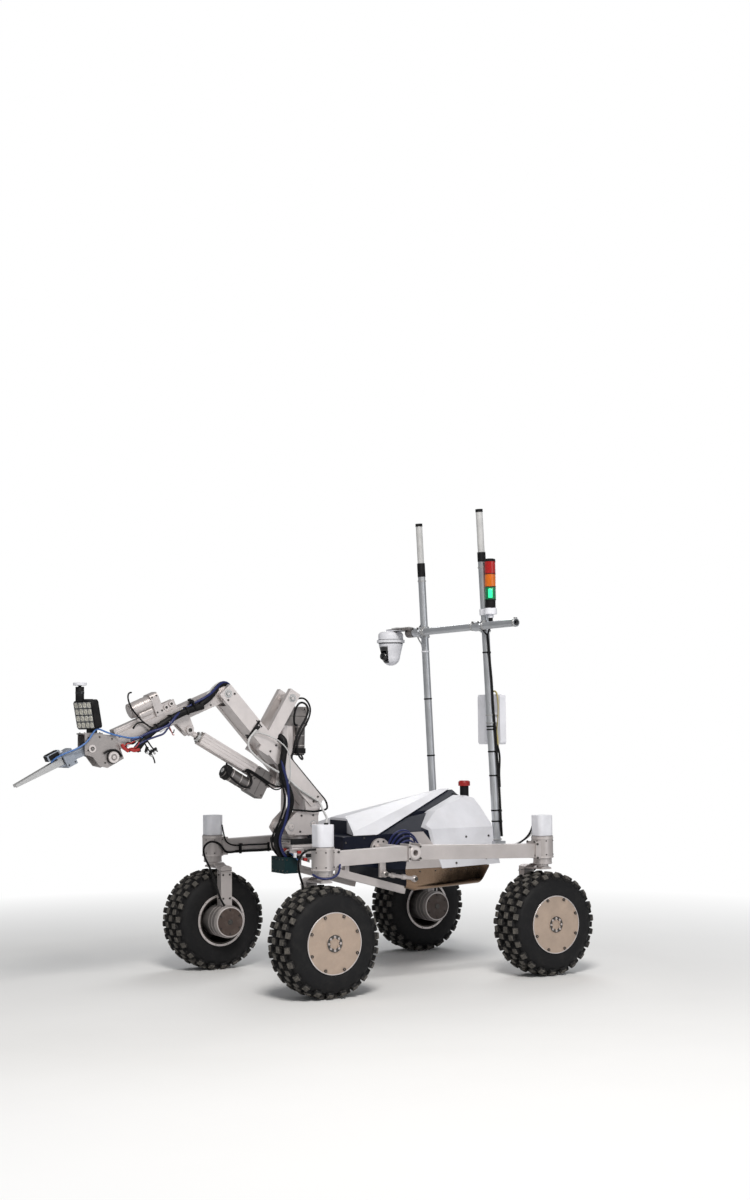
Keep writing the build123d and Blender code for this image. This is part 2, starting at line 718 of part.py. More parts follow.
def link_left():
    """Differential tie rod with its two ball studs."""
    y = LINK_Y
    front = (LINK_FRONT[0], y, LINK_FRONT[1])
    rear = (LINK_REAR[0], y, LINK_REAR[1])
    ends = [Pos(*p) * Sphere(LINK_BALL_R) for p in (front, rear)]
    stud = rod((LINK_REAR[0], PAN_HALF_W, LINK_REAR[1]), rear, LINK_STUD_R)
    pin = rod((LINK_FRONT[0], y - LINK_BALL_R - 1, LINK_FRONT[1]), front, LINK_STUD_R)
    return rod(front, rear, LINK_R) + ends + stud + pin


def arm_base():
    """Shelf and gussets at the body's nose, with the yaw bearing's housing."""
    shelf = box_at(BASE_X0, BASE_X1, -BASE_HALF_W, BASE_HALF_W, BASE_Z, BASE_Z + BASE_T)
    side = ((BASE_X0, BASE_Z), (BASE_X0, GUSSET_LOW_Z), (BASE_X1, GUSSET_TIP_Z), (BASE_X1, BASE_Z))
    gussets = both_sides(lambda: plate(side, GUSSET_Y, GUSSET_Y + GUSSET_T))
    housing = rod((YAW_X, 0, BASE_Z + BASE_T), (YAW_X, 0, BEARING_TOP_Z), BEARING_R)
    hanger = box_at(BASE_X1 - HANGER_LONG, BASE_X1, -HANGER_HALF_W, HANGER_HALF_W,
                    TEAL_TOP_Z + SEAT_GAP, BASE_Z)
    return shelf + gussets + housing + hanger


def turntable():
    """Yaw table and the two plates that hold the boom and its actuator's foot."""
    table = rod((YAW_X, 0, BEARING_TOP_Z + RUN_GAP), (YAW_X, 0, BEARING_TOP_Z + TABLE_T), TABLE_R)
    floor_z = BEARING_TOP_Z + TABLE_T
    deck = box_at(BRACKET_OUTLINE[1][0], DECK_FRONT_X, -BRACKET_Y - PLATE_T, BRACKET_Y + PLATE_T,
                  floor_z - DECK_T / 2, floor_z + DECK_T / 2)
    made = table + deck
    for side in (1, -1):
        y0, y1 = side * BRACKET_Y, side * (BRACKET_Y + PLATE_T)
        made = made + plate(BRACKET_OUTLINE, y0, y1, BRACKET_CORNER_R)
    outside = BRACKET_Y + PLATE_T
    pin = rod_y(SHOULDER, PIN_R, -outside - BOLT_PROUD, outside + BOLT_PROUD)
    ears = []
    for side in (1, -1):
        ears.append(rod_y(ACTUATOR_FOOT, FOOT_EAR_R, side * (EYE_HALF_W + EAR_GAP), side * BRACKET_Y))
        ears.append(rod_y(ACTUATOR_FOOT, PIN_HEAD_R, side * outside, side * (outside + BOLT_PROUD)))
    return made + pin + ears


def boom():
    """Lower arm: two side plates, the web over its back, knee plates and horns."""
    step, run = along(BOOM_LOW, BOOM_TOP)
    half = BOOM_DEEP / 2
    inner = BOOM_HALF_W - BOOM_SIDE_T
    side_outline = [shift(BOOM_LOW, step, far, side) for far, side in
                    ((BOOM_CUT, -half), (run, -half), (run, half), (0, half))]
    made = None
    for side in (1, -1):
        skin = plate(side_outline, side * inner, side * BOOM_HALF_W)
        made = skin if made is None else made + skin
    web_end = run - BOOM_WEB_END
    web_outline = [shift(BOOM_LOW, step, far, side) for far, side in
                   ((BOOM_SLOT_END, half - BOOM_WEB_T), (web_end, half - BOOM_WEB_T), (web_end, half),
                    (BOOM_SLOT_END, half))]
    made = made + plate(web_outline, -inner, inner)
    knee = [shift(BOOM_LOW, step, far, side) for far, side in
            ((KNEE_LAP, half - KNEE_LAP), (KNEE_LONG, 0), (KNEE_LONG - 2 * KNEE_LAP, -half + KNEE_LAP / 2))]
    knee += [(SHOULDER[0] + dx, SHOULDER[1] + dz) for dx, dz in KNEE_END]
    for side in (1, -1):
        made = made + plate(knee, side * KNEE_HALF_W, side * (KNEE_HALF_W + KNEE_T))
    near = step[0] * (ELBOW_BASE[0] - BOOM_LOW[0]) + step[1] * (ELBOW_BASE[1] - BOOM_LOW[1])
    for side in (1, -1):
        y0, y1 = side * inner, side * (inner + EAR_T)
        ear = [shift(BOOM_LOW, step, near - BASE_EAR_LONG, EAR_LAP - half)]
        ear += [shift(ELBOW_BASE, step, far, lift) for far, lift in
                ((-BASE_EAR_R, 0), (-EAR_TIP_HALF, -BASE_EAR_R), (EAR_TIP_HALF, -BASE_EAR_R), (BASE_EAR_R, 0))]
        ear += [shift(BOOM_LOW, step, near + BASE_EAR_LONG, EAR_LAP - half)]
        made = made + plate(ear, y0, y1)
    for side in (1, -1):
        y0, y1 = side * (BOOM_HALF_W - HORN_THICK), side * BOOM_HALF_W
        made = made + bar(HORN_ROOT, HORN_BOLT, HORN_DEEP, y0, y1, HORN_BURIED, HORN_BEYOND)
    made = made - rod_y(SHOULDER, PIN_R + RUN_GAP, -FAR, FAR)
    elbow_pin = rod_y(ELBOW, PIN_R, -BOOM_HALF_W - PIN_HEAD_T, BOOM_HALF_W + PIN_HEAD_T)
    horn_pin = rod_y(HORN_BOLT, PIN_R, -BOOM_HALF_W - PIN_HEAD_T, BOOM_HALF_W + PIN_HEAD_T)
    base_pin = rod_y(ELBOW_BASE, PIN_R, -inner - EAR_T - PIN_HEAD_T, inner + EAR_T + PIN_HEAD_T)
    return made + [elbow_pin, horn_pin, base_pin]


def actuator_barrel(foot, eye, barrel_long, side):
    """Linear actuator's body: lug, gearbox, square barrel and the motor beside it."""
    step, run = along(foot, eye)
    lug = rod_y(foot, EYE_R, -EYE_HALF_W, EYE_HALF_W)
    neck = bar(foot, shift(foot, step, GEARBOX_START + 4), 2 * EYE_HALF_W, -EYE_HALF_W, EYE_HALF_W)
    half = BARREL_SQ / 2
    reach = MOTOR_OFFSET + LINEAR_MOTOR_R
    low, high = (-reach, half) if side < 0 else (-half, reach)
    gear_outline = [shift(foot, step, far, off) for far, off in
                    ((GEARBOX_START, low), (GEARBOX_START + GEARBOX_LONG, low),
                     (GEARBOX_START + GEARBOX_LONG, high), (GEARBOX_START, high))]
    gearbox = plate(gear_outline, -half - 2, half + 2, 6.0)
    start = shift(foot, step, GEARBOX_START + GEARBOX_LONG)
    end = shift(foot, step, GEARBOX_START + barrel_long)
    barrel = bar(start, end, BARREL_SQ, -half, half)
    motor_start = shift(foot, step, GEARBOX_START + GEARBOX_LONG, side * MOTOR_OFFSET)
    motor_end = shift(motor_start, step, LINEAR_MOTOR_LONG)
    motor = rod((motor_start[0], 0, motor_start[1]), (motor_end[0], 0, motor_end[1]), LINEAR_MOTOR_R)
    gland_end = shift(end, step, GLAND_LONG)
    gland = rod((end[0], 0, end[1]), (gland_end[0], 0, gland_end[1]), GLAND_R)
    hole_end = shift(foot, step, run + GLAND_LONG)
    hole = rod((start[0], 0, start[1]), (hole_end[0], 0, hole_end[1]), ROD_R + RUN_GAP)
    pin_hole = rod_y(foot, PIN_R + RUN_GAP, -FAR, FAR)
    return (lug + neck + gearbox + barrel + motor + gland) - hole - pin_hole


def actuator_rod(foot, eye, back):
    """Linear actuator's rod and the eye at its end."""
    step, run = along(foot, eye)
    start = shift(foot, step, GEARBOX_START + GEARBOX_LONG + back)
    end = shift(foot, step, run - EYE_R + 2)
    shaft = rod((start[0], 0, start[1]), (end[0], 0, end[1]), ROD_R)
    ring = rod_y(eye, EYE_R, -EYE_HALF_W, EYE_HALF_W) - rod_y(eye, EYE_BORE_R, -FAR, FAR)
    return shaft + ring


def forearm_line():
    """Unit step along the forearm and the roll axis's start."""
    step, run = along(ELBOW, FOREARM_AIM)
    return step


def forearm():
    """Forearm tube with the elbow boss and the ears for the actuator's eye."""
    step = forearm_line()
    end = shift(ELBOW, step, WRIST_START)
    half = FOREARM_DEEP / 2
    tube = bar(ELBOW, end, FOREARM_DEEP, -FOREARM_HALF_W, FOREARM_HALF_W)
    boss = rod_y(ELBOW, half, -(BOOM_HALF_W - BOOM_SIDE_T - RUN_GAP), BOOM_HALF_W - BOOM_SIDE_T - RUN_GAP)
    made = tube + boss
    dx, dz = ELBOW_EYE[0] - ELBOW[0], ELBOW_EYE[1] - ELBOW[1]
    near = dx * step[0] + dz * step[1]
    for side in (1, -1):
        y0, y1 = side * (EYE_HALF_W + EAR_GAP), side * (EYE_HALF_W + EAR_GAP + EAR_T)
        ear = [shift(ELBOW, step, near + reach, EAR_LAP - half) for reach in (-EAR_R, 2 * EAR_R)]
        ear += [shift(ELBOW_EYE, step, far, lift) for far, lift in
                ((EAR_R, 0), (EAR_R / 2, -EAR_R), (-EAR_R / 2, -EAR_R), (-EAR_R, 0))]
        made = made + plate(ear, y0, y1)
        made = made + rod_y(ELBOW_EYE, PIN_HEAD_R, y1 - side, y1 + side * PIN_HEAD_T)
    return made - rod_y(ELBOW, PIN_R + RUN_GAP, -FAR, FAR)


def on_forearm(far0, far1, low, high, y0, y1):
    """A block on the forearm, placed along it and above its middle."""
    step = forearm_line()
    corners = [shift(ELBOW, step, far, lift) for far, lift in
               ((far0, low), (far1, low), (far1, high), (far0, high))]
    return plate(corners, y0, y1)


def can_on_forearm(far0, far1, lift, radius):
    """A round can beside the forearm's line."""
    step = forearm_line()
    start, end = shift(ELBOW, step, far0, lift), shift(ELBOW, step, far1, lift)
    return rod((start[0], 0, start[1]), (end[0], 0, end[1]), radius)


def wrist_motors():
    """Wrist actuator: clevis, end plate, its two cans and the barrel to the wrist."""
    base = FOREARM_DEEP / 2 + SEAT_GAP
    plate_end = END_PLATE_START + END_PLATE_LONG
    half = END_PLATE_HALF_W
    end_plate = on_forearm(END_PLATE_START, plate_end, base, END_PLATE_TOP, -half, half)
    long_edges = [edge for edge in end_plate.edges() if abs(edge.length - END_PLATE_LONG) < SEAT_GAP]
    made = fillet(ShapeList(long_edges).sort_by(Axis.Z)[-2:], END_PLATE_CORNER_R)
    made = made + can_on_forearm(plate_end - 1, UPPER_CAN_END, UPPER_CAN_LIFT, UPPER_CAN_R)
    made = made + can_on_forearm(plate_end - 1, LOWER_CAN_END, LOWER_CAN_LIFT, LOWER_CAN_R)
    half = BARREL_HALF_W
    made = made + on_forearm(plate_end - 1, BARREL_END, base, BARREL_TOP, -half, half)
    made = made + on_forearm(CLEVIS_START, END_PLATE_START + 1, base, CLEVIS_SADDLE, -half, half)
    for side in (1, -1):
        y0, y1 = side * CLEVIS_Y, side * (CLEVIS_Y + CLEVIS_T)
        made = made + on_forearm(CLEVIS_START, END_PLATE_START + 1, CLEVIS_SADDLE - 1, CLEVIS_TOP, y0, y1)
    for far, lift in CLEVIS_BOLTS:
        spot = shift(ELBOW, forearm_line(), far, lift)
        made = made + rod_y(spot, CLEVIS_BOLT_R, -BARREL_HALF_W, BARREL_HALF_W)
    return made


def wrist_bracket():
    """Roll flange, the wrist's two side plates, the lamp's shelf and the pulley."""
    step = forearm_line()
    start = shift(ELBOW, step, WRIST_START + RUN_GAP)
    end = shift(start, step, ROLL_LONG)
    inner = WRIST_HALF_W - WRIST_PLATE_T
    disc_end = shift(start, step, ROLL_DISC_LONG)
    made = bar(disc_end, end, ROLL_SQ, -inner, inner)
    made = made + rod((start[0], 0, start[1]), (disc_end[0], 0, disc_end[1]), ROLL_DISC_R)
    for side in (1, -1):
        made = made + plate(WRIST_OUTLINE, side * inner, side * WRIST_HALF_W)
    shelf_z = LAMP_SHELF_Z
    made = made + box_at(LAMP_SHELF_X0, LAMP_SHELF_X1, -inner, inner, shelf_z - WRIST_PLATE_T, shelf_z)
    made = made + rod_y(PULLEY, PULLEY_R, WRIST_HALF_W - 1, WRIST_HALF_W + PULLEY_T)
    pin = rod_y(WRIST_PITCH, WRIST_PIN_R, -WRIST_HALF_W - 4, WRIST_HALF_W + 4)
    return made + pin


def gripper_block():
    """Gripper carrier that turns on the wrist's pin."""
    step, run = along(GRIP_BLOCK, GRIP_TIP)
    gap = WRIST_HALF_W - WRIST_PLATE_T - RUN_GAP
    boss = rod_y(WRIST_PITCH, GRIP_BOSS_R, -gap, gap)
    neck = bar(WRIST_PITCH, GRIP_BLOCK, GRIP_NECK_DEEP, -GRIP_NECK_HALF_W, GRIP_NECK_HALF_W)
    half = GRIP_BLOCK_LONG / 2
    block = bar(shift(GRIP_BLOCK, step, -half), shift(GRIP_BLOCK, step, half),
                GRIP_BLOCK_DEEP, -GRIP_HALF_W, GRIP_HALF_W)
    made = boss + neck + block
    for side in (1, -1):
        near, far = side * (FINGER_DEEP / 2 + RUN_GAP), side * (FINGER_DEEP / 2 + RUN_GAP + FINGER_LIP_T)
        lip = [shift(GRIP_BLOCK, step, reach, off) for reach, off in
               ((half - 1, near), (FINGER_PIVOT_AT + FINGER_LIP_R, near),
                (FINGER_PIVOT_AT + FINGER_LIP_R, far), (half - 1, far))]
        made = made + plate(lip, -FINGER_LIP_HALF_W, FINGER_LIP_HALF_W)
        made = made + finger_pin(side, FINGER_PIVOT_R)
    seat = FINGER_DEEP / 2 + RUN_GAP + FINGER_LIP_T
    drive = [shift(GRIP_BLOCK, step, reach, off) for reach, off in
             ((half - 1, seat - 1), (FINGER_PIVOT_AT, seat - 1), (GRIP_DRIVE_END, seat + 2),
              (GRIP_DRIVE_END, GRIP_DRIVE_TOP), (half - 1, GRIP_DRIVE_TOP))]
    made = made + plate(drive, -GRIP_DRIVE_HALF_W, GRIP_DRIVE_HALF_W)
    return made - rod_y(WRIST_PITCH, WRIST_PIN_R + RUN_GAP, -FAR, FAR)


def finger_pin(side, radius):
    """Pivot pin through one finger's root, across the gripper."""
    step, run = along(GRIP_BLOCK, GRIP_TIP)
    reach = FINGER_DEEP / 2 + RUN_GAP + FINGER_LIP_T
    low = shift(GRIP_BLOCK, step, FINGER_PIVOT_AT, -reach)
    high = shift(GRIP_BLOCK, step, FINGER_PIVOT_AT, reach)
    y = side * FINGER_PIVOT_Y
    return rod((low[0], y, low[1]), (high[0], y, high[1]), radius)


def finger_left():
    """One long tapered finger."""
    step, run = along(GRIP_BLOCK, GRIP_TIP)
    start = GRIP_BLOCK_LONG / 2 + FINGER_ROOT_GAP
    root_half, tip_half = FINGER_DEEP / 2, FINGER_TIP_DEEP / 2
    outline = [shift(GRIP_BLOCK, step, reach, off) for reach, off in
               ((start, -root_half), (run, -tip_half), (run, tip_half), (start, root_half))]
    finger = plate(outline, FINGER_HALF_GAP, FINGER_HALF_GAP + FINGER_T)
    root = [shift(GRIP_BLOCK, step, reach, off) for reach, off in
            ((start, -FINGER_DEEP / 2), (FINGER_PIVOT_AT + FINGER_ROOT_R, -FINGER_DEEP / 2),
             (FINGER_PIVOT_AT + FINGER_ROOT_R, FINGER_DEEP / 2), (start, FINGER_DEEP / 2))]
    finger = finger + plate(root, FINGER_HALF_GAP - FINGER_ROOT_IN, FINGER_HALF_GAP + FINGER_T)
    return finger - finger_pin(1, FINGER_PIVOT_R + RUN_GAP)


def lamp_plane():
    """The lamp's own frame, its face forward and leaning down."""
    tilt, yaw = radians(LAMP_TILT), radians(LAMP_YAW)
    facing = (cos(tilt) * cos(yaw), cos(tilt) * sin(yaw), -sin(tilt))
    return Plane(origin=(LAMP_CENTRE[0], 0, LAMP_CENTRE[1]), x_dir=(-sin(yaw), cos(yaw), 0), z_dir=facing)


def work_lamp():
    """Lamp housing on the foot that stands on the wrist's shelf."""
    face = lamp_plane() * RectangleRounded(LAMP_WIDE, LAMP_HIGH, LAMP_CORNER_R)
    housing = extrude(face, -LAMP_DEEP)
    rear_x = LAMP_CENTRE[0] - LAMP_DEEP
    half_long, half_wide = LAMP_FOOT_LONG / 2, LAMP_FOOT_HALF_W
    foot = box_at(rear_x - half_long, rear_x + half_long, -half_wide, half_wide,
                  LAMP_SHELF_Z + SEAT_GAP, LAMP_CENTRE[1] - LAMP_HIGH / 2 + LAMP_CORNER_R)
    return housing + foot


def lamp_leds():
    """The lamp's grid of lenses."""
    plane = lamp_plane()
    made = []
    middle = (LED_GRID - 1) / 2
    for row in range(LED_GRID):
        for column in range(LED_GRID):
            spot = Pos((column - middle) * LED_PITCH_Y, (row - middle) * LED_PITCH_Z, SEAT_GAP + LED_PROUD / 2)
            made.append(plane * spot * Cylinder(LED_R, LED_PROUD))
    return made


def wrist_camera():
    """Small camera on an arm over the lamp."""
    rear_x, half = LAMP_CENTRE[0] - LAMP_DEEP, SPY_ARM_HALF_W
    arm = box_at(rear_x, SPY_X, -half, half, SPY_LOW_Z - SPY_ARM_T, SPY_LOW_Z)
    post_z = LAMP_CENTRE[1] + LAMP_HIGH / 2 - LAMP_CORNER_R
    post = box_at(rear_x, LAMP_CENTRE[0], -half, half, post_z, SPY_LOW_Z)
    body = rod((SPY_X, 0, SPY_LOW_Z - SPY_ARM_T), (SPY_X, 0, SPY_TOP_Z), SPY_R)
    stalk = rod((SPY_X, 0, SPY_TOP_Z - 1), (SPY_X, 0, SPY_CAP_Z), SPY_STALK_R)
    cap = rod((SPY_X, 0, SPY_CAP_Z), (SPY_X, 0, SPY_CAP_Z + SPY_CAP_T), SPY_CAP_R)
    return arm + post + body + stalk + cap


def mast_point(side, z):
    """The mast's centre at a height."""
    share = (z - MAST_FOOT[1]) / (MAST_LEVEL[1] - MAST_FOOT[1])
    return (MAST_FOOT[0] + share * (MAST_LEVEL[0] - MAST_FOOT[0]), side * MAST_Y, z)


def mast_hole(side, z):
    """Bore for the mast through a clamp at a height."""
    reach = 2 * PANEL_HIGH
    return rod(mast_point(side, z - reach), mast_point(side, z + reach), MAST_R + SEAT_GAP)


def mast(side):
    """Mast tube, from its foot bracket to its antenna."""
    return rod(mast_point(side, MAST_FOOT[1]), mast_point(side, MAST_TOP_Z[side]), MAST_R)


def mast_foot(side):
    """Foot bracket that holds a mast to the rear cover."""
    low_x = MAST_FOOT[0] - FOOT_LONG / 2
    middle = side * MAST_Y
    block = box_at(low_x, low_x + FOOT_LONG, middle - FOOT_WIDE / 2, middle + FOOT_WIDE / 2,
                   MAST_FOOT[1] - FOOT_LOW, MAST_FOOT[1] + FOOT_HIGH)
    foot_z = MAST_FOOT[1]
    tube = rod(mast_point(side, foot_z - SEAT_GAP), mast_point(side, foot_z + FAR), MAST_R + SEAT_GAP)
    return block - tube - rear_form()


def crossbar():
    """Open-ended crossbar and the ring clamps that hold it to the masts."""
    z = MAST_LEVEL[1]
    bar_tube = rod_y((CROSSBAR_X, z), CROSSBAR_R, CROSSBAR_FAR_Y, CROSSBAR_NEAR_Y)
    bar_tube = bar_tube - rod_y((CROSSBAR_X, z), CROSSBAR_R - CROSSBAR_WALL, -FAR, FAR)
    return bar_tube


def crossbar_clamp(side):
    """Block that grips the mast and the crossbar."""
    z = MAST_LEVEL[1]
    ring = rod_y((CROSSBAR_X, z), CROSSBAR_R + CLAMP_RING_T, side * MAST_Y - CLAMP_RING_LONG,
                 side * MAST_Y + CLAMP_RING_LONG)
    mast_x = MAST_LEVEL[0]
    low, high = mast_point(side, z - CLAMP_RING_LONG), mast_point(side, z + CLAMP_RING_LONG)
    collar = rod(low, high, MAST_R + CLAMP_RING_T)
    middle, half = side * MAST_Y, CLAMP_BRIDGE_HALF_W
    bridge = box_at(mast_x, CROSSBAR_X, middle - half, middle + half, z - CLAMP_BRIDGE_HALF_H, z + CLAMP_BRIDGE_HALF_H)
    holes = rod_y((CROSSBAR_X, z), CROSSBAR_R + SEAT_GAP, -FAR, FAR)
    hole = mast_hole(side, z)
    return (ring + collar + bridge) - holes - hole


def antenna(side):
    """White rod antenna with its black tip."""
    low = MAST_TOP_Z[side] + COUPLER_LONG[side]
    return rod(mast_point(side, low), mast_point(side, low + ANTENNA_LONG[side]), ANTENNA_R)


def antenna_blacks(side):
    """Black coupler under an antenna and the tip over it."""
    low = MAST_TOP_Z[side]
    top = low + COUPLER_LONG[side] + ANTENNA_LONG[side]
    coupler = rod(mast_point(side, low), mast_point(side, low + COUPLER_LONG[side]), COUPLER_R)
    tip = rod(mast_point(side, top), mast_point(side, top + ANTENNA_TIP_LONG), ANTENNA_R + 1)
    return [coupler, tip]


def stack_piece(z, height, radius=STACK_R):
    """One round piece of the stack light."""
    return rod((STACK_X, STACK_Y, z), (STACK_X, STACK_Y, z + height), radius)


def stack_base():
    """Stack light's bracket on the mast, its base and its top cap."""
    base = stack_piece(STACK_BASE_Z, STACK_BASE_H, STACK_BASE_R)
    bracket_z = STACK_BASE_Z - STACK_BRACKET_T
    middle = mast_point(1, bracket_z)[0]
    arm = box_at(middle - STACK_BRACKET_HALF_W, middle + STACK_BRACKET_HALF_W, MAST_Y, STACK_Y,
                 bracket_z, STACK_BASE_Z)
    plinth = stack_piece(bracket_z, STACK_BRACKET_T, STACK_PLINTH_R)
    collar = rod(mast_point(1, bracket_z), mast_point(1, STACK_BASE_Z), MAST_R + CLAMP_RING_T)
    socket = stack_piece(bracket_z - STACK_SOCKET_H, STACK_SOCKET_H, STACK_SOCKET_R)
    hole = mast_hole(1, bracket_z)
    top_z = STACK_BASE_Z + STACK_BASE_H + 3 * (STACK_LENS_H + SEAT_GAP)
    return [base + ((arm + plinth + collar + socket) - hole), stack_piece(top_z + SEAT_GAP, STACK_TOP_H)]


def stack_lens(index):
    """One coloured lens, counted from the lowest."""
    z = STACK_BASE_Z + STACK_BASE_H + SEAT_GAP + index * (STACK_LENS_H + SEAT_GAP)
    return stack_piece(z, STACK_LENS_H)


def panel_antenna():
    """Flat antenna behind the left mast, on its clamp."""
    centre = mast_point(1, PANEL_Z)
    x1 = centre[0] - MAST_R - PANEL_STANDOFF
    middle = MAST_Y - PANEL_INBOARD
    panel = box_at(x1 - PANEL_THICK, x1, middle - PANEL_WIDE / 2, middle + PANEL_WIDE / 2,
                   PANEL_Z - PANEL_HIGH / 2, PANEL_Z + PANEL_HIGH / 2)
    panel = fillet(panel.edges().filter_by(Axis.X), PANEL_CORNER_R)
    tab = box_at(x1 - 2, centre[0], MAST_Y - PANEL_TAB_HALF_W, MAST_Y + PANEL_TAB_HALF_W,
                 PANEL_Z - PANEL_TAB_HALF_H, PANEL_Z + PANEL_TAB_HALF_H)
    return (panel + tab) - mast_hole(1, PANEL_Z)


def dome_bracket():
    """Plate and neck that hang the dome camera from the crossbar's end."""
    z = MAST_LEVEL[1]
    far_y = CROSSBAR_FAR_Y - DOME_SLEEVE_LONG
    sleeve = rod_y((CROSSBAR_X, z), CROSSBAR_R + CLAMP_RING_T, far_y, CROSSBAR_FAR_Y + DOME_SLEEVE_LAP)
    sleeve = sleeve - rod_y((CROSSBAR_X, z), CROSSBAR_R + SEAT_GAP, CROSSBAR_FAR_Y, FAR)
    top_z = DOME_TOP_Z + DOME_ARM_T
    low_x = CROSSBAR_X - DOME_ARM_HALF_W
    arm = box_at(low_x, DOME_X + DOME_ARM_HALF_W, DOME_Y - DOME_ARM_HALF_W, CROSSBAR_FAR_Y - SEAT_GAP,
                 DOME_TOP_Z, top_z)
    post = box_at(low_x, CROSSBAR_X + DOME_ARM_HALF_W, far_y, CROSSBAR_FAR_Y - SEAT_GAP, z, top_z)
    return sleeve + arm + post


def dome_cap():
    """White top half of the dome camera with its wide brim, which pans."""
    top = DOME_TOP_Z - RUN_GAP
    low = top - DOME_CAP_H
    cap = rod((DOME_X, DOME_Y, low), (DOME_X, DOME_Y, top), DOME_CAP_R)
    cap = fillet(cap.edges().filter_by(GeomType.CIRCLE).sort_by(Axis.Z)[-1], DOME_CAP_EDGE_R)
    return cap + rod((DOME_X, DOME_Y, low), (DOME_X, DOME_Y, low + DOME_BRIM_H), DOME_R)


def dome_shell():
    """Lower shell of the dome camera, tapering to a round end, with its lens slot."""
    top = DOME_TOP_Z - RUN_GAP - DOME_CAP_H - DOME_RING_H
    centre_z = top - DOME_SHELL_H + DOME_SHELL_LOW_R
    turned = Plane(origin=(DOME_X, DOME_Y, 0), x_dir=(1, 0, 0), z_dir=(0, -1, 0))
    profile = ((0, top), (DOME_SHELL_TOP_R, top), (DOME_SHELL_LOW_R, centre_z), (0, centre_z))
    face = turned * make_face(Polyline(*profile, close=True))
    cone = revolve(face, Axis((DOME_X, DOME_Y, 0), (0, 0, 1)))
    ball = Pos(DOME_X, DOME_Y, centre_z) * Sphere(DOME_SHELL_LOW_R)
    ring = rod((DOME_X, DOME_Y, top - 1), (DOME_X, DOME_Y, top + DOME_RING_H - RUN_GAP), DOME_RING_R)
    half = DOME_LENS_R + DOME_SLOT_SIDE
    slot = box_at(DOME_X + DOME_LENS_FORWARD - half, DOME_X + DOME_R, DOME_Y - half, DOME_Y + half,
                  DOME_TILT_Z - half, DOME_TILT_Z + half)
    return (cone + ball + ring) - slot


def dome_lens():
    """Black lens ball that tilts in the shell's slot."""
    x = DOME_X + DOME_LENS_FORWARD
    ball = Pos(x, DOME_Y, DOME_TILT_Z) * Sphere(DOME_LENS_R)
    reach = DOME_LENS_R + DOME_LENS_PIN_LONG
    return ball + rod_y((x, DOME_TILT_Z), DOME_LENS_PIN_R, DOME_Y - reach, DOME_Y + reach)


def cable(name, points, radius):
    """A held cable whose every arc is as large as its two runs allow."""
    places = [Vector(*point) for point in points]
    radii = []
    for before, at, after in zip(places, places[1:], places[2:]):
        half_turn = radians((at - before).get_angle(after - at)) / 2
        radii.append(ARC_SHARE * min((at - before).length, (after - at).length) / tan(half_turn))
    print(f"{name}: radii", " ".join(f"{value:.0f}" for value in radii))
    path = Wire(FilletPolyline(*points, radius=radii).edges())
    section = Plane(origin=path @ 0, z_dir=path % 0) * Circle(radius)
    tube = sweep(section, path=path)
    share = tube.volume / (pi * radius**2 * path.length)
    print(f"{name}: length {path.length:.0f} mm, volume over section times length {share:.4f}")
    return tube


def mast_cable():
    """Black cable tied down the left mast."""
    points = []
    for z, dx, dy in MAST_CABLE_ROUTE:
        x, y, _ = mast_point(1, z)
        points.append((x + dx, y + dy, z))
    return cable("mast cable", points, MAST_CABLE_R)


def forearm_sheath():
    """Fat black cable sheath along the forearm's left side."""
    step = forearm_line()
    places = [(shift(ELBOW, step, far, lift), y) for far, lift, y in SHEATH_ROUTE]
    return cable("forearm sheath", [(x, y, z) for (x, z), y in places], SHEATH_R)


def stop_base():
    """Black stem of the emergency stop."""
    return rod((STOP_X, STOP_Y, STOP_FOOT_Z), (STOP_X, STOP_Y, STOP_FOOT_Z + STOP_BASE_H), STOP_BASE_R)


def stop_button():
    """Red mushroom head."""
    low = STOP_FOOT_Z + STOP_BASE_H
    head = rod((STOP_X, STOP_Y, low), (STOP_X, STOP_Y, low + STOP_HEAD_H), STOP_HEAD_R)
    return fillet(head.edges().filter_by(GeomType.CIRCLE).sort_by(Axis.Z)[-1], 7)


def at_corner(piece, side_x, side_y, z=0.0):
    """Puts a left-hand piece at a wheel corner, mirrored on the right."""
    if side_y < 0:
        piece = mirror(piece, about=Plane.XZ)
    return Pos(side_x * WHEELBASE / 2, side_y * TRACK / 2, z) * piece


def corner_nodes():
    """Wheel, motor and strut of each corner."""
    made = {}
    shapes = {"tyre": tyre(), "rim": rim(), "hub_motor": hub_motor()}
    leg = strut()
    for name, side_x, side_y in CORNERS:
        for kind, shape in shapes.items():
            made[f"{kind}_{name}"] = [at_corner(shape, side_x, side_y, TYRE_R)]
        made[f"strut_{name}"] = [at_corner(leg, side_x, side_y)]
    return made


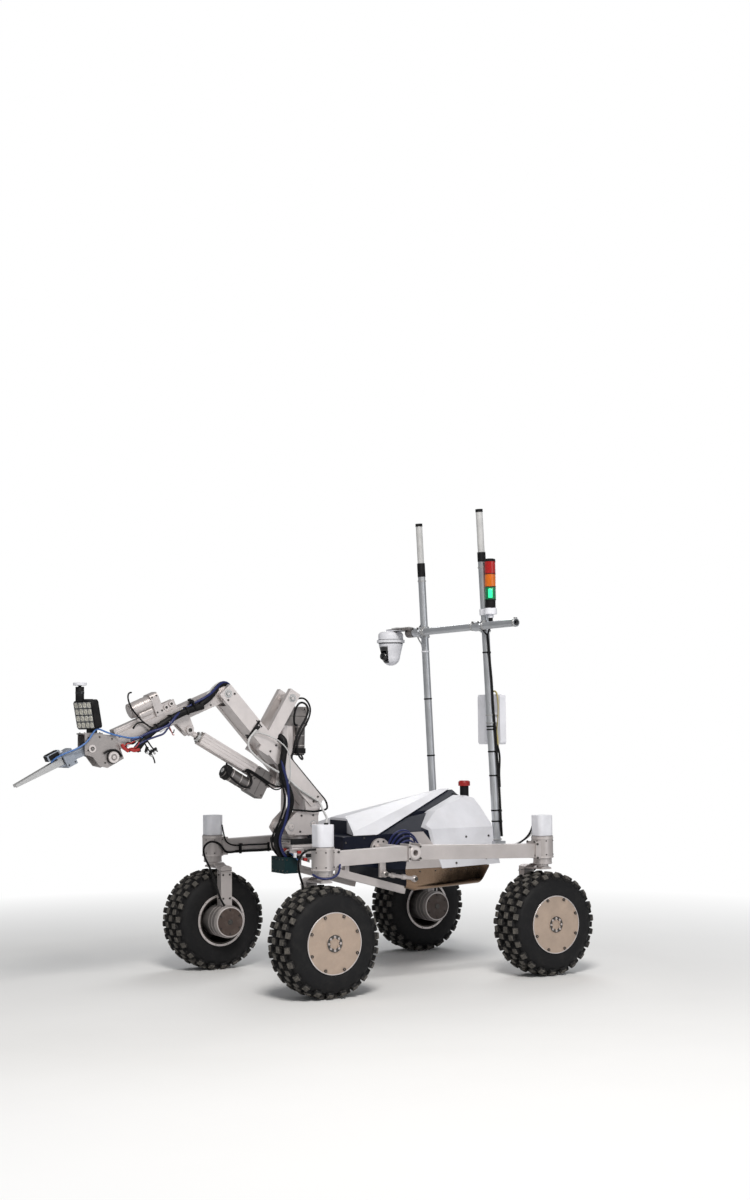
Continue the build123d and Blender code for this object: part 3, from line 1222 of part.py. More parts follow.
def chassis_nodes():
    """Body, covers, rockers and columns."""
    hood, rear = hood_form(), rear_form()
    block = core()
    inner = BODY_HALF_W - SKIN_T
    panel = below_covers(plate(SIDE_OUTLINE, inner - SKIN_T, inner))
    pan = belly_pan()
    sheet = plate(PAN_SHEET, inner - SKIN_T, inner)
    columns = [at_corner(column_housing(), sx, sy) for _, sx, sy in CORNERS]
    caps = [at_corner(column_cap(), sx, sy) for _, sx, sy in CORNERS]
    hood = hood - block
    rear = rear - block
    for side in (1, -1):
        skin = panel if side > 0 else mirror(panel, about=Plane.XZ)
        hood = hood - skin
        rear = rear - skin
    pan = pan - rear_form()
    rear = rear - stop_hole()
    block = block - stop_hole()
    return {
        "core_box": [block],
        "front_hood": [hood],
        "rear_cover": [rear],
        "belly_pan": [pan, *both_sides(lambda: sheet - rear_form() - panel)],
        "side_panels": both_sides(lambda: panel),
        "lower_braces": both_sides(brace_left),
        "rocker_beams": both_sides(lambda: Compound(children=beams_left())),
        "rocker_pivots": both_sides(pivot_left),
        "column_housings": columns,
        "column_caps": caps,
        "tie_rods": both_sides(link_left),
        "arm_base": [arm_base()],
        "teal_box": [box_at(TEAL_X0, TEAL_X1, -TEAL_HALF_W, TEAL_HALF_W, TEAL_LOW_Z, TEAL_TOP_Z)],
        "emergency_stop": [stop_base(), stop_button()],
    }


def mast_nodes():
    """Masts, crossbar and what they carry."""
    return {
        "mast_tubes": [mast(side) for side in (1, -1)],
        "mast_crossbar": [crossbar()],
        "mast_clamps": [make(side) for side in (1, -1) for make in (crossbar_clamp, mast_foot)],
        "antenna_rods": [antenna(side) for side in (1, -1)],
        "antenna_ends": [piece for side in (1, -1) for piece in antenna_blacks(side)],
        "stack_base": stack_base(),
        "stack_green": [stack_lens(0)],
        "stack_amber": [stack_lens(1)],
        "stack_red": [stack_lens(2)],
        "panel_antenna": [panel_antenna()],
        "dome_bracket": [dome_bracket()],
        "dome_cap": [dome_cap()],
        "dome_shell": [dome_shell()],
        "dome_lens": [dome_lens()],
        "chassis_cables": [mast_cable()],
    }


def arm_nodes():
    """Turntable, boom, forearm, wrist, gripper and lamp."""
    finger = finger_left()
    return {
        "turntable": [turntable()],
        "boom": [boom()],
        "shoulder_barrel": [actuator_barrel(HORN_BOLT, ACTUATOR_FOOT, SHOULDER_BARREL_LONG, -1)],
        "shoulder_rod": [actuator_rod(HORN_BOLT, ACTUATOR_FOOT, SHOULDER_ROD_BACK)],
        "elbow_barrel": [actuator_barrel(ELBOW_BASE, ELBOW_EYE, ELBOW_BARREL_LONG, -1)],
        "elbow_rod": [actuator_rod(ELBOW_BASE, ELBOW_EYE, ELBOW_ROD_BACK)],
        "forearm": [forearm()],
        "wrist_motors": [wrist_motors()],
        "forearm_cables": [forearm_sheath()],
        "wrist_bracket": [wrist_bracket()],
        "work_lamp": [work_lamp() + wrist_camera()],
        "lamp_leds": lamp_leds(),
        "gripper_block": [gripper_block()],
        "finger_left": [finger],
        "finger_right": [mirror(finger, about=Plane.XZ)],
    }


def flat(pieces):
    """Every solid of a list of pieces."""
    return [solid for piece in pieces for solid in piece.solids()]


nodes = {}
for group in (corner_nodes(), chassis_nodes(), mast_nodes(), arm_nodes()):
    for name, pieces in group.items():
        nodes[name] = Compound(children=flat(pieces))

whole = [node.bounding_box() for node in nodes.values()]
origin_x = (min(b.min.X for b in whole) + max(b.max.X for b in whole)) / 2

if __name__ == "__main__":
    os.makedirs("parts", exist_ok=True)
    for name, node in nodes.items():
        export_step(Pos(-origin_x, 0, 0) * node, f"parts/{name}.step")
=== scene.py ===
from math import atan2, cos, degrees, pi, radians, sin

import bmesh
import bpy
from bpy.props import FloatProperty, FloatVectorProperty, IntProperty, PointerProperty
from mathutils import Matrix, Vector


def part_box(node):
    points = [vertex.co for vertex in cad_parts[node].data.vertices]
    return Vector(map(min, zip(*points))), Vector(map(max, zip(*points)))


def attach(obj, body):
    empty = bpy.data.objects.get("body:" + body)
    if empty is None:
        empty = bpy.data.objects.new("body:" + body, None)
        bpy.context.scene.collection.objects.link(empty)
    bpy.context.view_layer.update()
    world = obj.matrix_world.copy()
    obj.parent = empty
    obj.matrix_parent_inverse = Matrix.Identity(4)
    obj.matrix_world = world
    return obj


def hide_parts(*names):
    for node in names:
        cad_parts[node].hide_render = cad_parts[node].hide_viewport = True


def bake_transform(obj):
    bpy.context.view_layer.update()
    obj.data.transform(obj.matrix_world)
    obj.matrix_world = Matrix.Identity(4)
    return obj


bl_info = {
    "name": "Field rover dressing",
    "version": (1, 0, 0),
    "blender": (4, 5, 0),
    "location": "View3D > Sidebar > Rover",
    "description": "Finishes, tyres, cables and fittings of a four-wheel field rover with a manipulator arm",
    "category": "Object",
}

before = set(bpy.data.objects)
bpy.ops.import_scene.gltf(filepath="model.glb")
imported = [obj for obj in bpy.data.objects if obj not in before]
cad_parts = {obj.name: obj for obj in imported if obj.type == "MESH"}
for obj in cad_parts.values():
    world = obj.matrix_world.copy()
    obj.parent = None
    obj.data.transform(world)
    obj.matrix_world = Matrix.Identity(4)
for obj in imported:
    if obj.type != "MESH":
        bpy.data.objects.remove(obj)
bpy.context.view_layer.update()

MM = 0.001
PHOTO_HIGH = 1200
UP, LEFT, AHEAD = (0, 0, 1), (0, 1, 0), (1, 0, 0)
WHEEL_NAMES = ("front_left", "front_right", "rear_left", "rear_right")


def node_middle(name):
    """The middle of a frame node's box."""
    low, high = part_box(name)
    return (low + high) / 2


# Places are written in millimetres from the floor point between the four wheels
WHEELS_MIDDLE_X = (node_middle("tyre_front_left").x + node_middle("tyre_rear_left").x) / 2


def at(x, y, z):
    """A point given in millimetres from between the wheels, in the frame's metres."""
    return Vector((x * MM + WHEELS_MIDDLE_X, y * MM, z * MM))


def in_mm(place):
    """A place of the frame in millimetres from between the wheels."""
    return (place - at(0, 0, 0)) / MM


def wheel_centre(name):
    """Wheel centre of a corner."""
    return node_middle(f"tyre_{name}")


# Settings


class RoverSizes(bpy.types.PropertyGroup):
    """Sizes of the dressing that a user may change."""

    knob_height: FloatProperty(name="Knob height", description="How far the tread knobs stand proud",
                               default=0.014, min=0.004, max=0.02, subtype="DISTANCE")
    knob_count: IntProperty(name="Knobs round", description="Knobs in one row round the tyre",
                            default=22, min=12, max=40)
    edge_radius: FloatProperty(name="Edge radius", description="Rounding of the machined edges",
                               default=0.0008, min=0.0002, max=0.003, subtype="DISTANCE")


class RoverColours(bpy.types.PropertyGroup):
    """Colours of the finishes that a user may change."""

    # Satin aluminium grey with a slight warm tint that stands for soil reflected in the metal: a painted
    # reflection.
    alloy: FloatVectorProperty(name="Alloy", description="Satin aluminium of the frame",
                               default=(0.545, 0.505, 0.495), size=3, subtype="COLOR", min=0, max=1)
    # The wheel cover's tan colour is the soil reflected in the bare aluminium: a painted reflection.
    cover: FloatVectorProperty(name="Wheel cover", description="Sandy film on the wheel covers",
                               default=(0.47, 0.37, 0.30), size=3, subtype="COLOR", min=0, max=1)
    shell: FloatVectorProperty(name="White shells", description="White moulded covers",
                               default=(0.70, 0.705, 0.75), size=3, subtype="COLOR", min=0, max=1)
    panel: FloatVectorProperty(name="Dark panels", description="Navy side panels",
                               default=(0.004, 0.006, 0.016), size=3, subtype="COLOR", min=0, max=1)
    rubber: FloatVectorProperty(name="Rubber", description="Tyre rubber",
                                default=(0.011, 0.011, 0.012), size=3, subtype="COLOR", min=0, max=1)
    dust: FloatVectorProperty(name="Dust", description="Dry soil on tyres and metal",
                              default=(0.46, 0.42, 0.37), size=3, subtype="COLOR", min=0, max=1)


# Shader nodes


def add_node(tree, kind, **values):
    """Adds a node: values named after an input set that input, others set the node."""
    node = tree.nodes.new(kind)
    for name, value in values.items():
        title = name.replace("_", " ").capitalize()
        if title in node.inputs:
            node.inputs[title].default_value = value
        else:
            setattr(node, name, value)
    return node


def join(tree, source, target):
    """Links one socket to another."""
    tree.links.new(source, target)


def surface_place(tree, stretch=(1.0, 1.0, 1.0), shift=(0.0, 0.0, 0.0)):
    """The piece's own coordinates, stretched along its grain."""
    coords = add_node(tree, "ShaderNodeTexCoord")
    mapping = add_node(tree, "ShaderNodeMapping")
    mapping.inputs["Scale"].default_value = stretch
    mapping.inputs["Location"].default_value = shift
    join(tree, coords.outputs["Object"], mapping.inputs["Vector"])
    return mapping.outputs["Vector"]


def noise(tree, place, scale, detail=4.0, roughness=0.55):
    """A noise pattern's value."""
    node = add_node(tree, "ShaderNodeTexNoise", scale=scale, detail=detail, roughness=roughness)
    join(tree, place, node.inputs["Vector"])
    return node.outputs["Fac"]


def spread(tree, value, low_in, high_in, low_out=0.0, high_out=1.0):
    """Maps a range of a value to another range, clamped."""
    node = add_node(tree, "ShaderNodeMapRange", clamp=True)
    sockets = (("From Min", low_in), ("From Max", high_in), ("To Min", low_out), ("To Max", high_out))
    for name, number in sockets:
        node.inputs[name].default_value = number
    join(tree, value, node.inputs["Value"])
    return node.outputs["Result"]


def blend_colours(tree, share, first, second):
    """Mixes two colours, each a socket or a plain colour."""
    node = add_node(tree, "ShaderNodeMix", data_type="RGBA")
    for title, colour in (("A", first), ("B", second)):
        socket = [s for s in node.inputs if s.name == title and s.type == "RGBA"][0]
        if isinstance(colour, bpy.types.NodeSocket):
            join(tree, colour, socket)
        else:
            socket.default_value = (*colour, 1.0)
    join(tree, share, node.inputs["Factor"])
    return [s for s in node.outputs if s.type == "RGBA"][0]


def product(tree, first, second, operation="MULTIPLY"):
    """Arithmetic on two values."""
    node = add_node(tree, "ShaderNodeMath", operation=operation)
    for index, value in enumerate((first, second)):
        if isinstance(value, bpy.types.NodeSocket):
            join(tree, value, node.inputs[index])
        else:
            node.inputs[index].default_value = value
    return node.outputs[0]


def bump(tree, height, strength, distance):
    """A bump from a height pattern."""
    node = add_node(tree, "ShaderNodeBump", strength=strength, distance=distance)
    join(tree, height, node.inputs["Height"])
    return node.outputs["Normal"]


# Finishes


def shades(colour, share):
    """A colour made lighter or darker by a share."""
    return tuple(min(1.0, part * share) for part in colour)


def finish_rows(colours):
    """Every plain finish: what it is made of and how it is worn."""
    alloy, cover = tuple(colours.alloy), tuple(colours.cover)
    shell, panel = tuple(colours.shell), tuple(colours.panel)
    rubber, dust = tuple(colours.rubber), tuple(colours.dust)
    metal, drawn, blasted, plastic = 1.0, 0.80, 0.55, 0.0
    fine, brushed, round_grain = (1, 1, 1), (1, 1, 14), (6, 1, 6)
    # name, colour, metallic, roughness low, high, patch scale, grain scale, grain stretch,
    # bump depth, dust colour, dust share
    return (
        ("satin_alloy", alloy, blasted, 0.34, 0.52, 9, 420, fine, 0.00010, dust, 0.16),
        ("bright_alloy", shades(alloy, 1.16), blasted, 0.28, 0.46, 14, 300, fine, 0.00008, dust, 0.08),
        ("cast_alloy", shades(alloy, 0.50), blasted, 0.40, 0.60, 20, 700, fine, 0.00022, dust, 0.20),
        ("turned_alloy", shades(alloy, 0.95), blasted, 0.26, 0.42, 12, 500, round_grain, 0.00008, dust,
         0.14),
        # Wheel covers: the tan base colour is a painted reflection of soil, and the lighter patches over it
        # are dust.
        ("cover_alloy_painted_reflection", cover, blasted, 0.46, 0.66, 26, 520, fine, 0.00012, shades(cover, 1.12), 0.55),
        # The belly pan's brown colour is the soil reflected in its polished metal: a painted reflection.
        ("mirror_alloy_painted_reflection", (0.30, 0.205, 0.14), metal, 0.07, 0.20, 7, 240, brushed, 0.00004, dust, 0.06),
        ("grip_alloy", (0.30, 0.33, 0.38), blasted, 0.36, 0.52, 18, 500, fine, 0.00003, dust, 0.05),
        # The masts' cool blue tint copies the tubes' bluish highlights: a painted reflection.
        ("mast_alloy", (0.56, 0.575, 0.60), drawn, 0.24, 0.40, 9, 300, fine, 0.00006, dust, 0.06),
        ("rim_shadow", (0.045, 0.040, 0.036), blasted, 0.40, 0.58, 14, 700, fine, 0.00010, dust, 0.06),
        # A darker copy of the alloy for the wrist bracket, which stands in shade: painted shade.
        ("painted_shade_alloy", shades(alloy, 0.58), blasted, 0.26, 0.44, 9, 420, fine, 0.00010, dust, 0.10),
        ("dull_alloy", shades(alloy, 0.30), drawn, 0.24, 0.38, 12, 400, round_grain, 0.00006, dust, 0.05),
        ("gear_alloy", shades(alloy, 0.34), blasted, 0.30, 0.48, 12, 500, fine, 0.00014, dust, 0.08),
        ("ground_steel", (0.46, 0.46, 0.46), blasted, 0.22, 0.36, 12, 300, fine, 0.00002, dust, 0.05),
        ("white_shell", shell, plastic, 0.30, 0.46, 6, 900, fine, 0.00006, dust, 0.10),
        ("white_cap", shades(shell, 1.04), plastic, 0.34, 0.50, 10, 1100, fine, 0.00004, dust, 0.03),
        ("navy_panel", panel, plastic, 0.24, 0.44, 8, 800, fine, 0.00006, dust, 0.015),
        ("black_mould", (0.008, 0.008, 0.009), plastic, 0.42, 0.60, 12, 900, fine, 0.00014, dust, 0.03),
        ("black_cable", (0.006, 0.006, 0.007), plastic, 0.40, 0.58, 30, 1400, fine, 0.00008, dust, 0.03),
        ("blue_cable", (0.003, 0.009, 0.085), plastic, 0.32, 0.48, 30, 1200, fine, 0.00008, dust, 0.04),
        ("sky_cable", (0.06, 0.16, 0.42), plastic, 0.32, 0.48, 30, 1200, fine, 0.00008, dust, 0.04),
        ("white_cable", (0.50, 0.50, 0.50), plastic, 0.34, 0.52, 30, 1200, fine, 0.00008, dust, 0.08),
        ("sand_cable", (0.36, 0.30, 0.12), plastic, 0.36, 0.54, 30, 1200, fine, 0.00008, dust, 0.06),
        ("teal_paint", (0.003, 0.022, 0.026), plastic, 0.30, 0.48, 12, 900, fine, 0.00006, dust, 0.01),
        ("red_mould", (0.32, 0.010, 0.008), plastic, 0.28, 0.42, 14, 900, fine, 0.00006, dust, 0.04),
        ("dark_screw", (0.10, 0.095, 0.09), metal, 0.30, 0.50, 20, 700, fine, 0.00010, dust, 0.10),
        ("brown_enamel", (0.060, 0.038, 0.030), plastic, 0.30, 0.50, 14, 800, fine, 0.00012, dust, 0.12),
        ("knob_rubber", shades(rubber, 1.2), plastic, 0.62, 0.82, 30, 900, fine, 0.00030, dust, 0.18),
        ("knob_top", shades(dust, 0.13), plastic, 0.70, 0.90, 40, 900, fine, 0.00040, shades(dust, 0.75),
         0.50),
        ("sidewall", rubber, plastic, 0.48, 0.70, 14, 800, fine, 0.00020, shades(dust, 0.22), 0.10),
    )


# detail and roughness of the noise in patches, grain and dust
PATCH_NOISE, GRAIN_NOISE, DUST_NOISE = (5.0, 0.6), (3.0, 0.6), (8.0, 0.68)
# dust's scale over the patches', the noise that it starts and ends at, and how much it roughens
DUST_SCALE, DUST_FROM, DUST_TO, DUST_ROUGHNESS = 3.1, 0.48, 0.76, 0.5
# share of the colour in dark and light patches, and the noise that they start and end at
DARK_PATCH, LIGHT_PATCH, TONE_FROM, TONE_TO = 0.88, 1.10, 0.3, 0.7
GLOSS_FROM, GLOSS_TO = 0.25, 0.75
BUMP_STRENGTH, BUMP_DEPTH_SCALE = 0.6, 3
# colours darker than this reflect less
DARK_COLOUR, DARK_SPECULAR = 0.05, 0.16


def new_material(name):
    """A material with its node tree and main shader."""
    material = bpy.data.materials.new(name)
    material.use_nodes = True
    return material, material.node_tree, material.node_tree.nodes["Principled BSDF"]


def plain_finish(row):
    """Makes one finish: patches of tone, fine grain, uneven gloss and settled dust."""
    name, colour, metallic, low, high, patch, grain, stretch, depth, dust, dust_share = row
    material, tree, shader = new_material(name)
    shader.inputs["Metallic"].default_value = metallic
    place = surface_place(tree)
    along = surface_place(tree, stretch)
    patches = noise(tree, place, patch, *PATCH_NOISE)
    fine = noise(tree, along, grain, *GRAIN_NOISE)
    specks = noise(tree, place, patch * DUST_SCALE, *DUST_NOISE)
    settled = spread(tree, specks, DUST_FROM, DUST_TO, 0.0, dust_share)
    dark, light = shades(colour, DARK_PATCH), shades(colour, LIGHT_PATCH)
    toned = blend_colours(tree, spread(tree, patches, TONE_FROM, TONE_TO), dark, light)
    join(tree, blend_colours(tree, settled, toned, dust), shader.inputs["Base Color"])
    gloss = spread(tree, patches, GLOSS_FROM, GLOSS_TO, low, high)
    rough = product(tree, gloss, product(tree, settled, DUST_ROUGHNESS), "ADD")
    join(tree, rough, shader.inputs["Roughness"])
    join(tree, bump(tree, fine, BUMP_STRENGTH, depth * BUMP_DEPTH_SCALE), shader.inputs["Normal"])
    if max(colour) < DARK_COLOUR:
        shader.inputs["Specular IOR Level"].default_value = DARK_SPECULAR
    material.diffuse_color = (*colour, 1.0)
    return material


# share of the colour in dark and light patches of a lens, its roughness there, and its ribs' scale and bump
LENS_DARK, LENS_LIGHT, LENS_ROUGHNESS = 0.82, 1.15, (0.12, 0.24)
LENS_PATCH_SCALE, LENS_RIB_SCALE, LENS_RIB_STRENGTH, LENS_RIB_DEPTH = 40.0, 300.0, 0.2, 0.0003
LENS_CLEARNESS, LENS_COAT = 0.25, 0.5


def lens_finish(name, colour, glow):
    """Coloured clear moulding with ribs inside and a faint glow, painted light where the lens is not lit."""
    material, tree, shader = new_material(name)
    place = surface_place(tree)
    patches = noise(tree, place, LENS_PATCH_SCALE, 3.0)
    toned = blend_colours(tree, patches, shades(colour, LENS_DARK), shades(colour, LENS_LIGHT))
    join(tree, toned, shader.inputs["Base Color"])
    join(tree, spread(tree, patches, TONE_FROM, TONE_TO, *LENS_ROUGHNESS), shader.inputs["Roughness"])
    for title, value in (("Transmission Weight", LENS_CLEARNESS), ("Coat Weight", LENS_COAT),
                         ("Emission Color", (*colour, 1.0)), ("Emission Strength", glow)):
        shader.inputs[title].default_value = value
    ribs = noise(tree, place, LENS_RIB_SCALE)
    join(tree, bump(tree, ribs, LENS_RIB_STRENGTH, LENS_RIB_DEPTH), shader.inputs["Normal"])
    material.diffuse_color = (*colour, 1.0)
    return material


LENS_ROWS = (
    # name, colour, glow; only lit_green is a lit lamp, the faint glow of the other lenses is painted light
    ("red_lens", (0.46, 0.008, 0.007), 0.06),
    ("amber_lens", (0.72, 0.17, 0.006), 0.07),
    ("green_lens", (0.004, 0.20, 0.075), 0.10),
    ("lit_green", (0.03, 0.95, 0.35), 0.9),
    ("led_lens", (0.72, 0.70, 0.62), 0.05),
    ("smoked_glass", (0.012, 0.012, 0.015), 0.0),
)


def make_finishes():
    """All finishes by name."""
    colours = bpy.context.scene.rover_colours
    made = {row[0]: plain_finish(row) for row in finish_rows(colours)}
    for name, colour, glow in LENS_ROWS:
        made[name] = lens_finish(name, colour, glow)
    return made


def finish(name):
    """A finish that has been made."""
    return bpy.data.materials[name]


# Mesh building

# share of a rim's rounding at its middle step, and the largest rim on a rod by its radius and its length
RIM_STEP, RIM_OF_RADIUS, RIM_OF_RUN = 0.3, 0.5, 0.4
BLOCK_PROFILE = 0.6


def turns(count, phase=0.0):
    """Angles evenly round a circle."""
    return [2 * pi * (step + phase) / count for step in range(count)]


def add_band(grid, low, high):
    """Joins two rings of points with a band of faces."""
    for step in range(len(low)):
        after = (step + 1) % len(low)
        grid.faces.new((low[step], low[after], high[after], high[step]))


def turned_piece(profile, segments, centre, axis):
    """A mesh turned from a closed or open profile of (radius, along) points."""
    grid = bmesh.new()
    axis = Vector(axis).normalized()
    side = axis.orthogonal().normalized()
    cross = axis.cross(side)
    levels = []
    for radius, along in profile:
        middle = Vector(centre) + axis * along
        levels.append([grid.verts.new(middle + (side * cos(turn) + cross * sin(turn)) * radius)
                       for turn in turns(segments)])
    for low, high in zip(levels, levels[1:]):
        add_band(grid, low, high)
    return grid, levels


def face_outward(face, way):
    """Turns a face to look one way."""
    face.normal_update()
    if face.normal.dot(Vector(way)) < 0:
        face.normal_flip()


def add_turned(grid, profile, segments, centre, axis, index=0):
    """Adds a closed turned piece to a mesh, its ends capped."""
    part, levels = turned_piece(profile, segments, centre, axis)
    for level, way in ((levels[0], -Vector(axis)), (levels[-1], axis)):
        face_outward(part.faces.new(level), way)
    bmesh.ops.recalc_face_normals(part, faces=part.faces)
    merge_into(grid, part, index)


def merge_into(grid, part, index=0):
    """Moves one mesh's faces into another, with a finish index."""
    spots = {v: grid.verts.new(v.co) for v in part.verts}
    for face in part.faces:
        made = grid.faces.new([spots[v] for v in face.verts])
        made.material_index = index
        made.smooth = True
    part.free()


def add_block(grid, centre, size, turn, edge, index=0):
    """Adds a box with rounded edges to a mesh."""
    part = bmesh.new()
    place = Matrix.Translation(centre) @ turn.to_4x4()
    bmesh.ops.create_cube(part, size=1.0, matrix=place @ Matrix.Diagonal((*size, 1.0)))
    bmesh.ops.bevel(part, geom=part.edges[:], offset=edge, segments=2, profile=BLOCK_PROFILE, affect="EDGES")
    merge_into(grid, part, index)


def add_loop(grid, profile, segments, centre, axis, index=0):
    """Adds a ring whose section is a closed profile of (radius, along) points."""
    part, levels = turned_piece(profile, segments, centre, axis)
    add_band(part, levels[-1], levels[0])
    bmesh.ops.recalc_face_normals(part, faces=part.faces)
    merge_into(grid, part, index)


def add_rod(grid, start, end, radius, edge, index=0, segments=24):
    """Adds a round bar between two points, its rims rounded."""
    run = (end - start).length
    rim = min(edge, radius * RIM_OF_RADIUS, run * RIM_OF_RUN)
    low_end = [(radius - rim, 0.0), (radius - rim * RIM_STEP, rim * RIM_STEP), (radius, rim)]
    high_end = [(wide, run - along) for wide, along in reversed(low_end)]
    add_turned(grid, low_end + high_end, segments, start, (end - start).normalized(), index)


def piece(name, grid, body, finishes, sharp=40.0):
    """Turns a mesh into a piece that rides on a body."""
    mesh = bpy.data.meshes.new(name)
    grid.to_mesh(mesh)
    grid.free()
    made = bpy.data.objects.new(name, mesh)
    bpy.context.scene.collection.objects.link(made)
    for title in finishes:
        mesh.materials.append(finish(title))
    mesh.shade_smooth()
    mesh.set_sharp_from_angle(angle=radians(sharp))
    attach(made, body)
    return made


def places(points):
    """Points written in millimetres, in the frame's metres."""
    return [at(*point) for point in points]


SCREW_SEGMENTS, RING_SEGMENTS = 14, 48
# share of a screw's radius and height, from its foot over its rim into its socket
SCREW_PROFILE = ((1.0, 0.0), (1.0, 0.75), (0.84, 1.0), (0.52, 1.0), (0.44, 0.35))


def screw(grid, place, axis, radius, height, index=0):
    """A socket-head screw, its rim rounded and its socket sunk."""
    profile = [(radius * MM * wide, height * MM * high) for wide, high in SCREW_PROFILE]
    add_turned(grid, profile, SCREW_SEGMENTS, at(*place), axis, index)


def screws(grid, spots, axis, radius, height, index):
    """Screws of one kind at several places."""
    for place in spots:
        screw(grid, place, axis, radius, height, index)


def ring(grid, place, axis, inner, outer, width, index=0, segments=RING_SEGMENTS):
    """A flat ring round an axis, its outer rims rounded."""
    rim = min(width, outer - inner) * RIM_STEP
    points = ((inner, 0), (outer - rim, 0), (outer, rim), (outer, width - rim), (outer - rim, width),
              (inner, width))
    profile = [(radius * MM, along * MM) for radius, along in points]
    add_loop(grid, profile, segments, at(*place), axis, index)


def ring_set(grid, place, axis, rows):
    """Rings round one place: inner radius, outer radius, width and finish of each."""
    for inner, outer, width, index in rows:
        ring(grid, place, axis, inner, outer, width, index)


def ring_places(centre, radius, count, phase=0.5):
    """Places on a circle across the Y axis."""
    return [(centre[0] + radius * cos(turn), centre[1], centre[2] + radius * sin(turn))
            for turn in turns(count, phase)]


def block(grid, place, size, tilt=0.0, edge=0.5, index=0, turn=0.0):
    """A rounded block, tilted up from +X about Y and turned about Z, in degrees."""
    turned = Matrix.Rotation(radians(turn), 3, "Z") @ Matrix.Rotation(radians(-tilt), 3, "Y")
    add_block(grid, at(*place), Vector(size) * MM, turned, edge * MM, index)


def bar(grid, start, end, radius, index=0, edge=0.6):
    """A round bar between two places."""
    add_rod(grid, at(*start), at(*end), radius * MM, edge * MM, index)


def on_side(spots, side):
    """Places of the rover's left side, on one side of it."""
    return [(x, side * y, z) for x, y, z in spots]


def rounded_square(x, y, half, radius, steps=6):
    """Outline of a square with round corners, in plan."""
    outline = []
    reach = (half - radius) * 2 ** 0.5
    for corner in range(4):
        middle = pi / 4 + pi / 2 * corner
        for step in range(steps + 1):
            turn = pi / 2 * (corner + step / steps)
            outline.append((x + reach * cos(middle) + radius * cos(turn),
                            y + reach * sin(middle) + radius * sin(turn)))
    return outline


def slab(grid, outline, low, high, index=0):
    """A flat piece of a plan outline between two heights."""
    part = bmesh.new()
    levels = [[part.verts.new(at(x, y, z)) for x, y in outline] for z in (low, high)]
    add_band(part, *levels)
    for level in levels:
        part.faces.new(level)
    bmesh.ops.recalc_face_normals(part, faces=part.faces)
    merge_into(grid, part, index)


class SlopingLine:
    """The middle line of a sloping piece in the rover's upright middle plane, in millimetres."""

    def __init__(self, start, step):
        self.start = start
        self.step = step
        self.axis = (step[0], 0, step[1])
        self.tilt = degrees(atan2(step[1], step[0]))

    def on(self, far, lift, y=0.0):
        """The place so far along the line and so far above it."""
        return (self.start[0] + self.step[0] * far - self.step[1] * lift, y,
                self.start[1] + self.step[1] * far + self.step[0] * lift)

    def far(self, place):
        """How far along the line a place lies."""
        return (place.x - self.start[0]) * self.step[0] + (place.z - self.start[1]) * self.step[1]

    def lift(self, place):
        """How far above the line a place lies."""
        return (place.z - self.start[1]) * self.step[0] - (place.x - self.start[0]) * self.step[1]


# start (x, height) and unit step
BOOM = SlopingLine((234.5, 554.0), (0.6703, 0.7421))
SHOULDER_ACTUATOR = SlopingLine((331.0, 899.5), (0.02679, -0.99964))
ELBOW_ACTUATOR = SlopingLine((374.0, 626.0), (0.87, 0.4931))
FOREARM = SlopingLine((560.0, 913.5), (0.92581, -0.37800))
GRIPPER = SlopingLine((1076.0, 720.0), (0.8967, -0.4428))


def lay_cable(name, points, radius, finish_name):
    """A round cable on one smooth line along its points."""
    line = bpy.data.curves.new(name, "CURVE")
    line.dimensions = "3D"
    line.bevel_depth = radius
    line.bevel_resolution = 3
    line.resolution_u = 8
    line.use_fill_caps = True
    spline = line.splines.new("NURBS")
    spline.points.add(len(points) - 1)
    for point, place in zip(spline.points, points):
        point.co = (*place, 1.0)
    spline.order_u = 3
    spline.use_endpoint_u = True
    line.materials.append(finish(finish_name))
    made = bpy.data.objects.new(name, line)
    bpy.context.scene.collection.objects.link(made)
    return made


def cable(name, points, radius, body, finish_name):
    """A cable that rides on one body."""
    made = lay_cable(name, points, radius, finish_name)
    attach(made, body)
    return made


def bending_cable(name, points, radius, finish_name):
    """A cable laid along its points and baked into a fixed mesh that rides on no body."""
    line = lay_cable(name + "_line", points, radius, finish_name)
    evaluated = line.evaluated_get(bpy.context.evaluated_depsgraph_get())
    mesh = bpy.data.meshes.new_from_object(evaluated)
    bpy.data.objects.remove(line)
    made = bpy.data.objects.new(name, mesh)
    bpy.context.scene.collection.objects.link(made)
    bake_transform(made)
    return made


# Operators


def corners(kind):
    """The nodes of a kind at all four corners."""
    return tuple(f"{kind}_{name}" for name in WHEEL_NAMES)


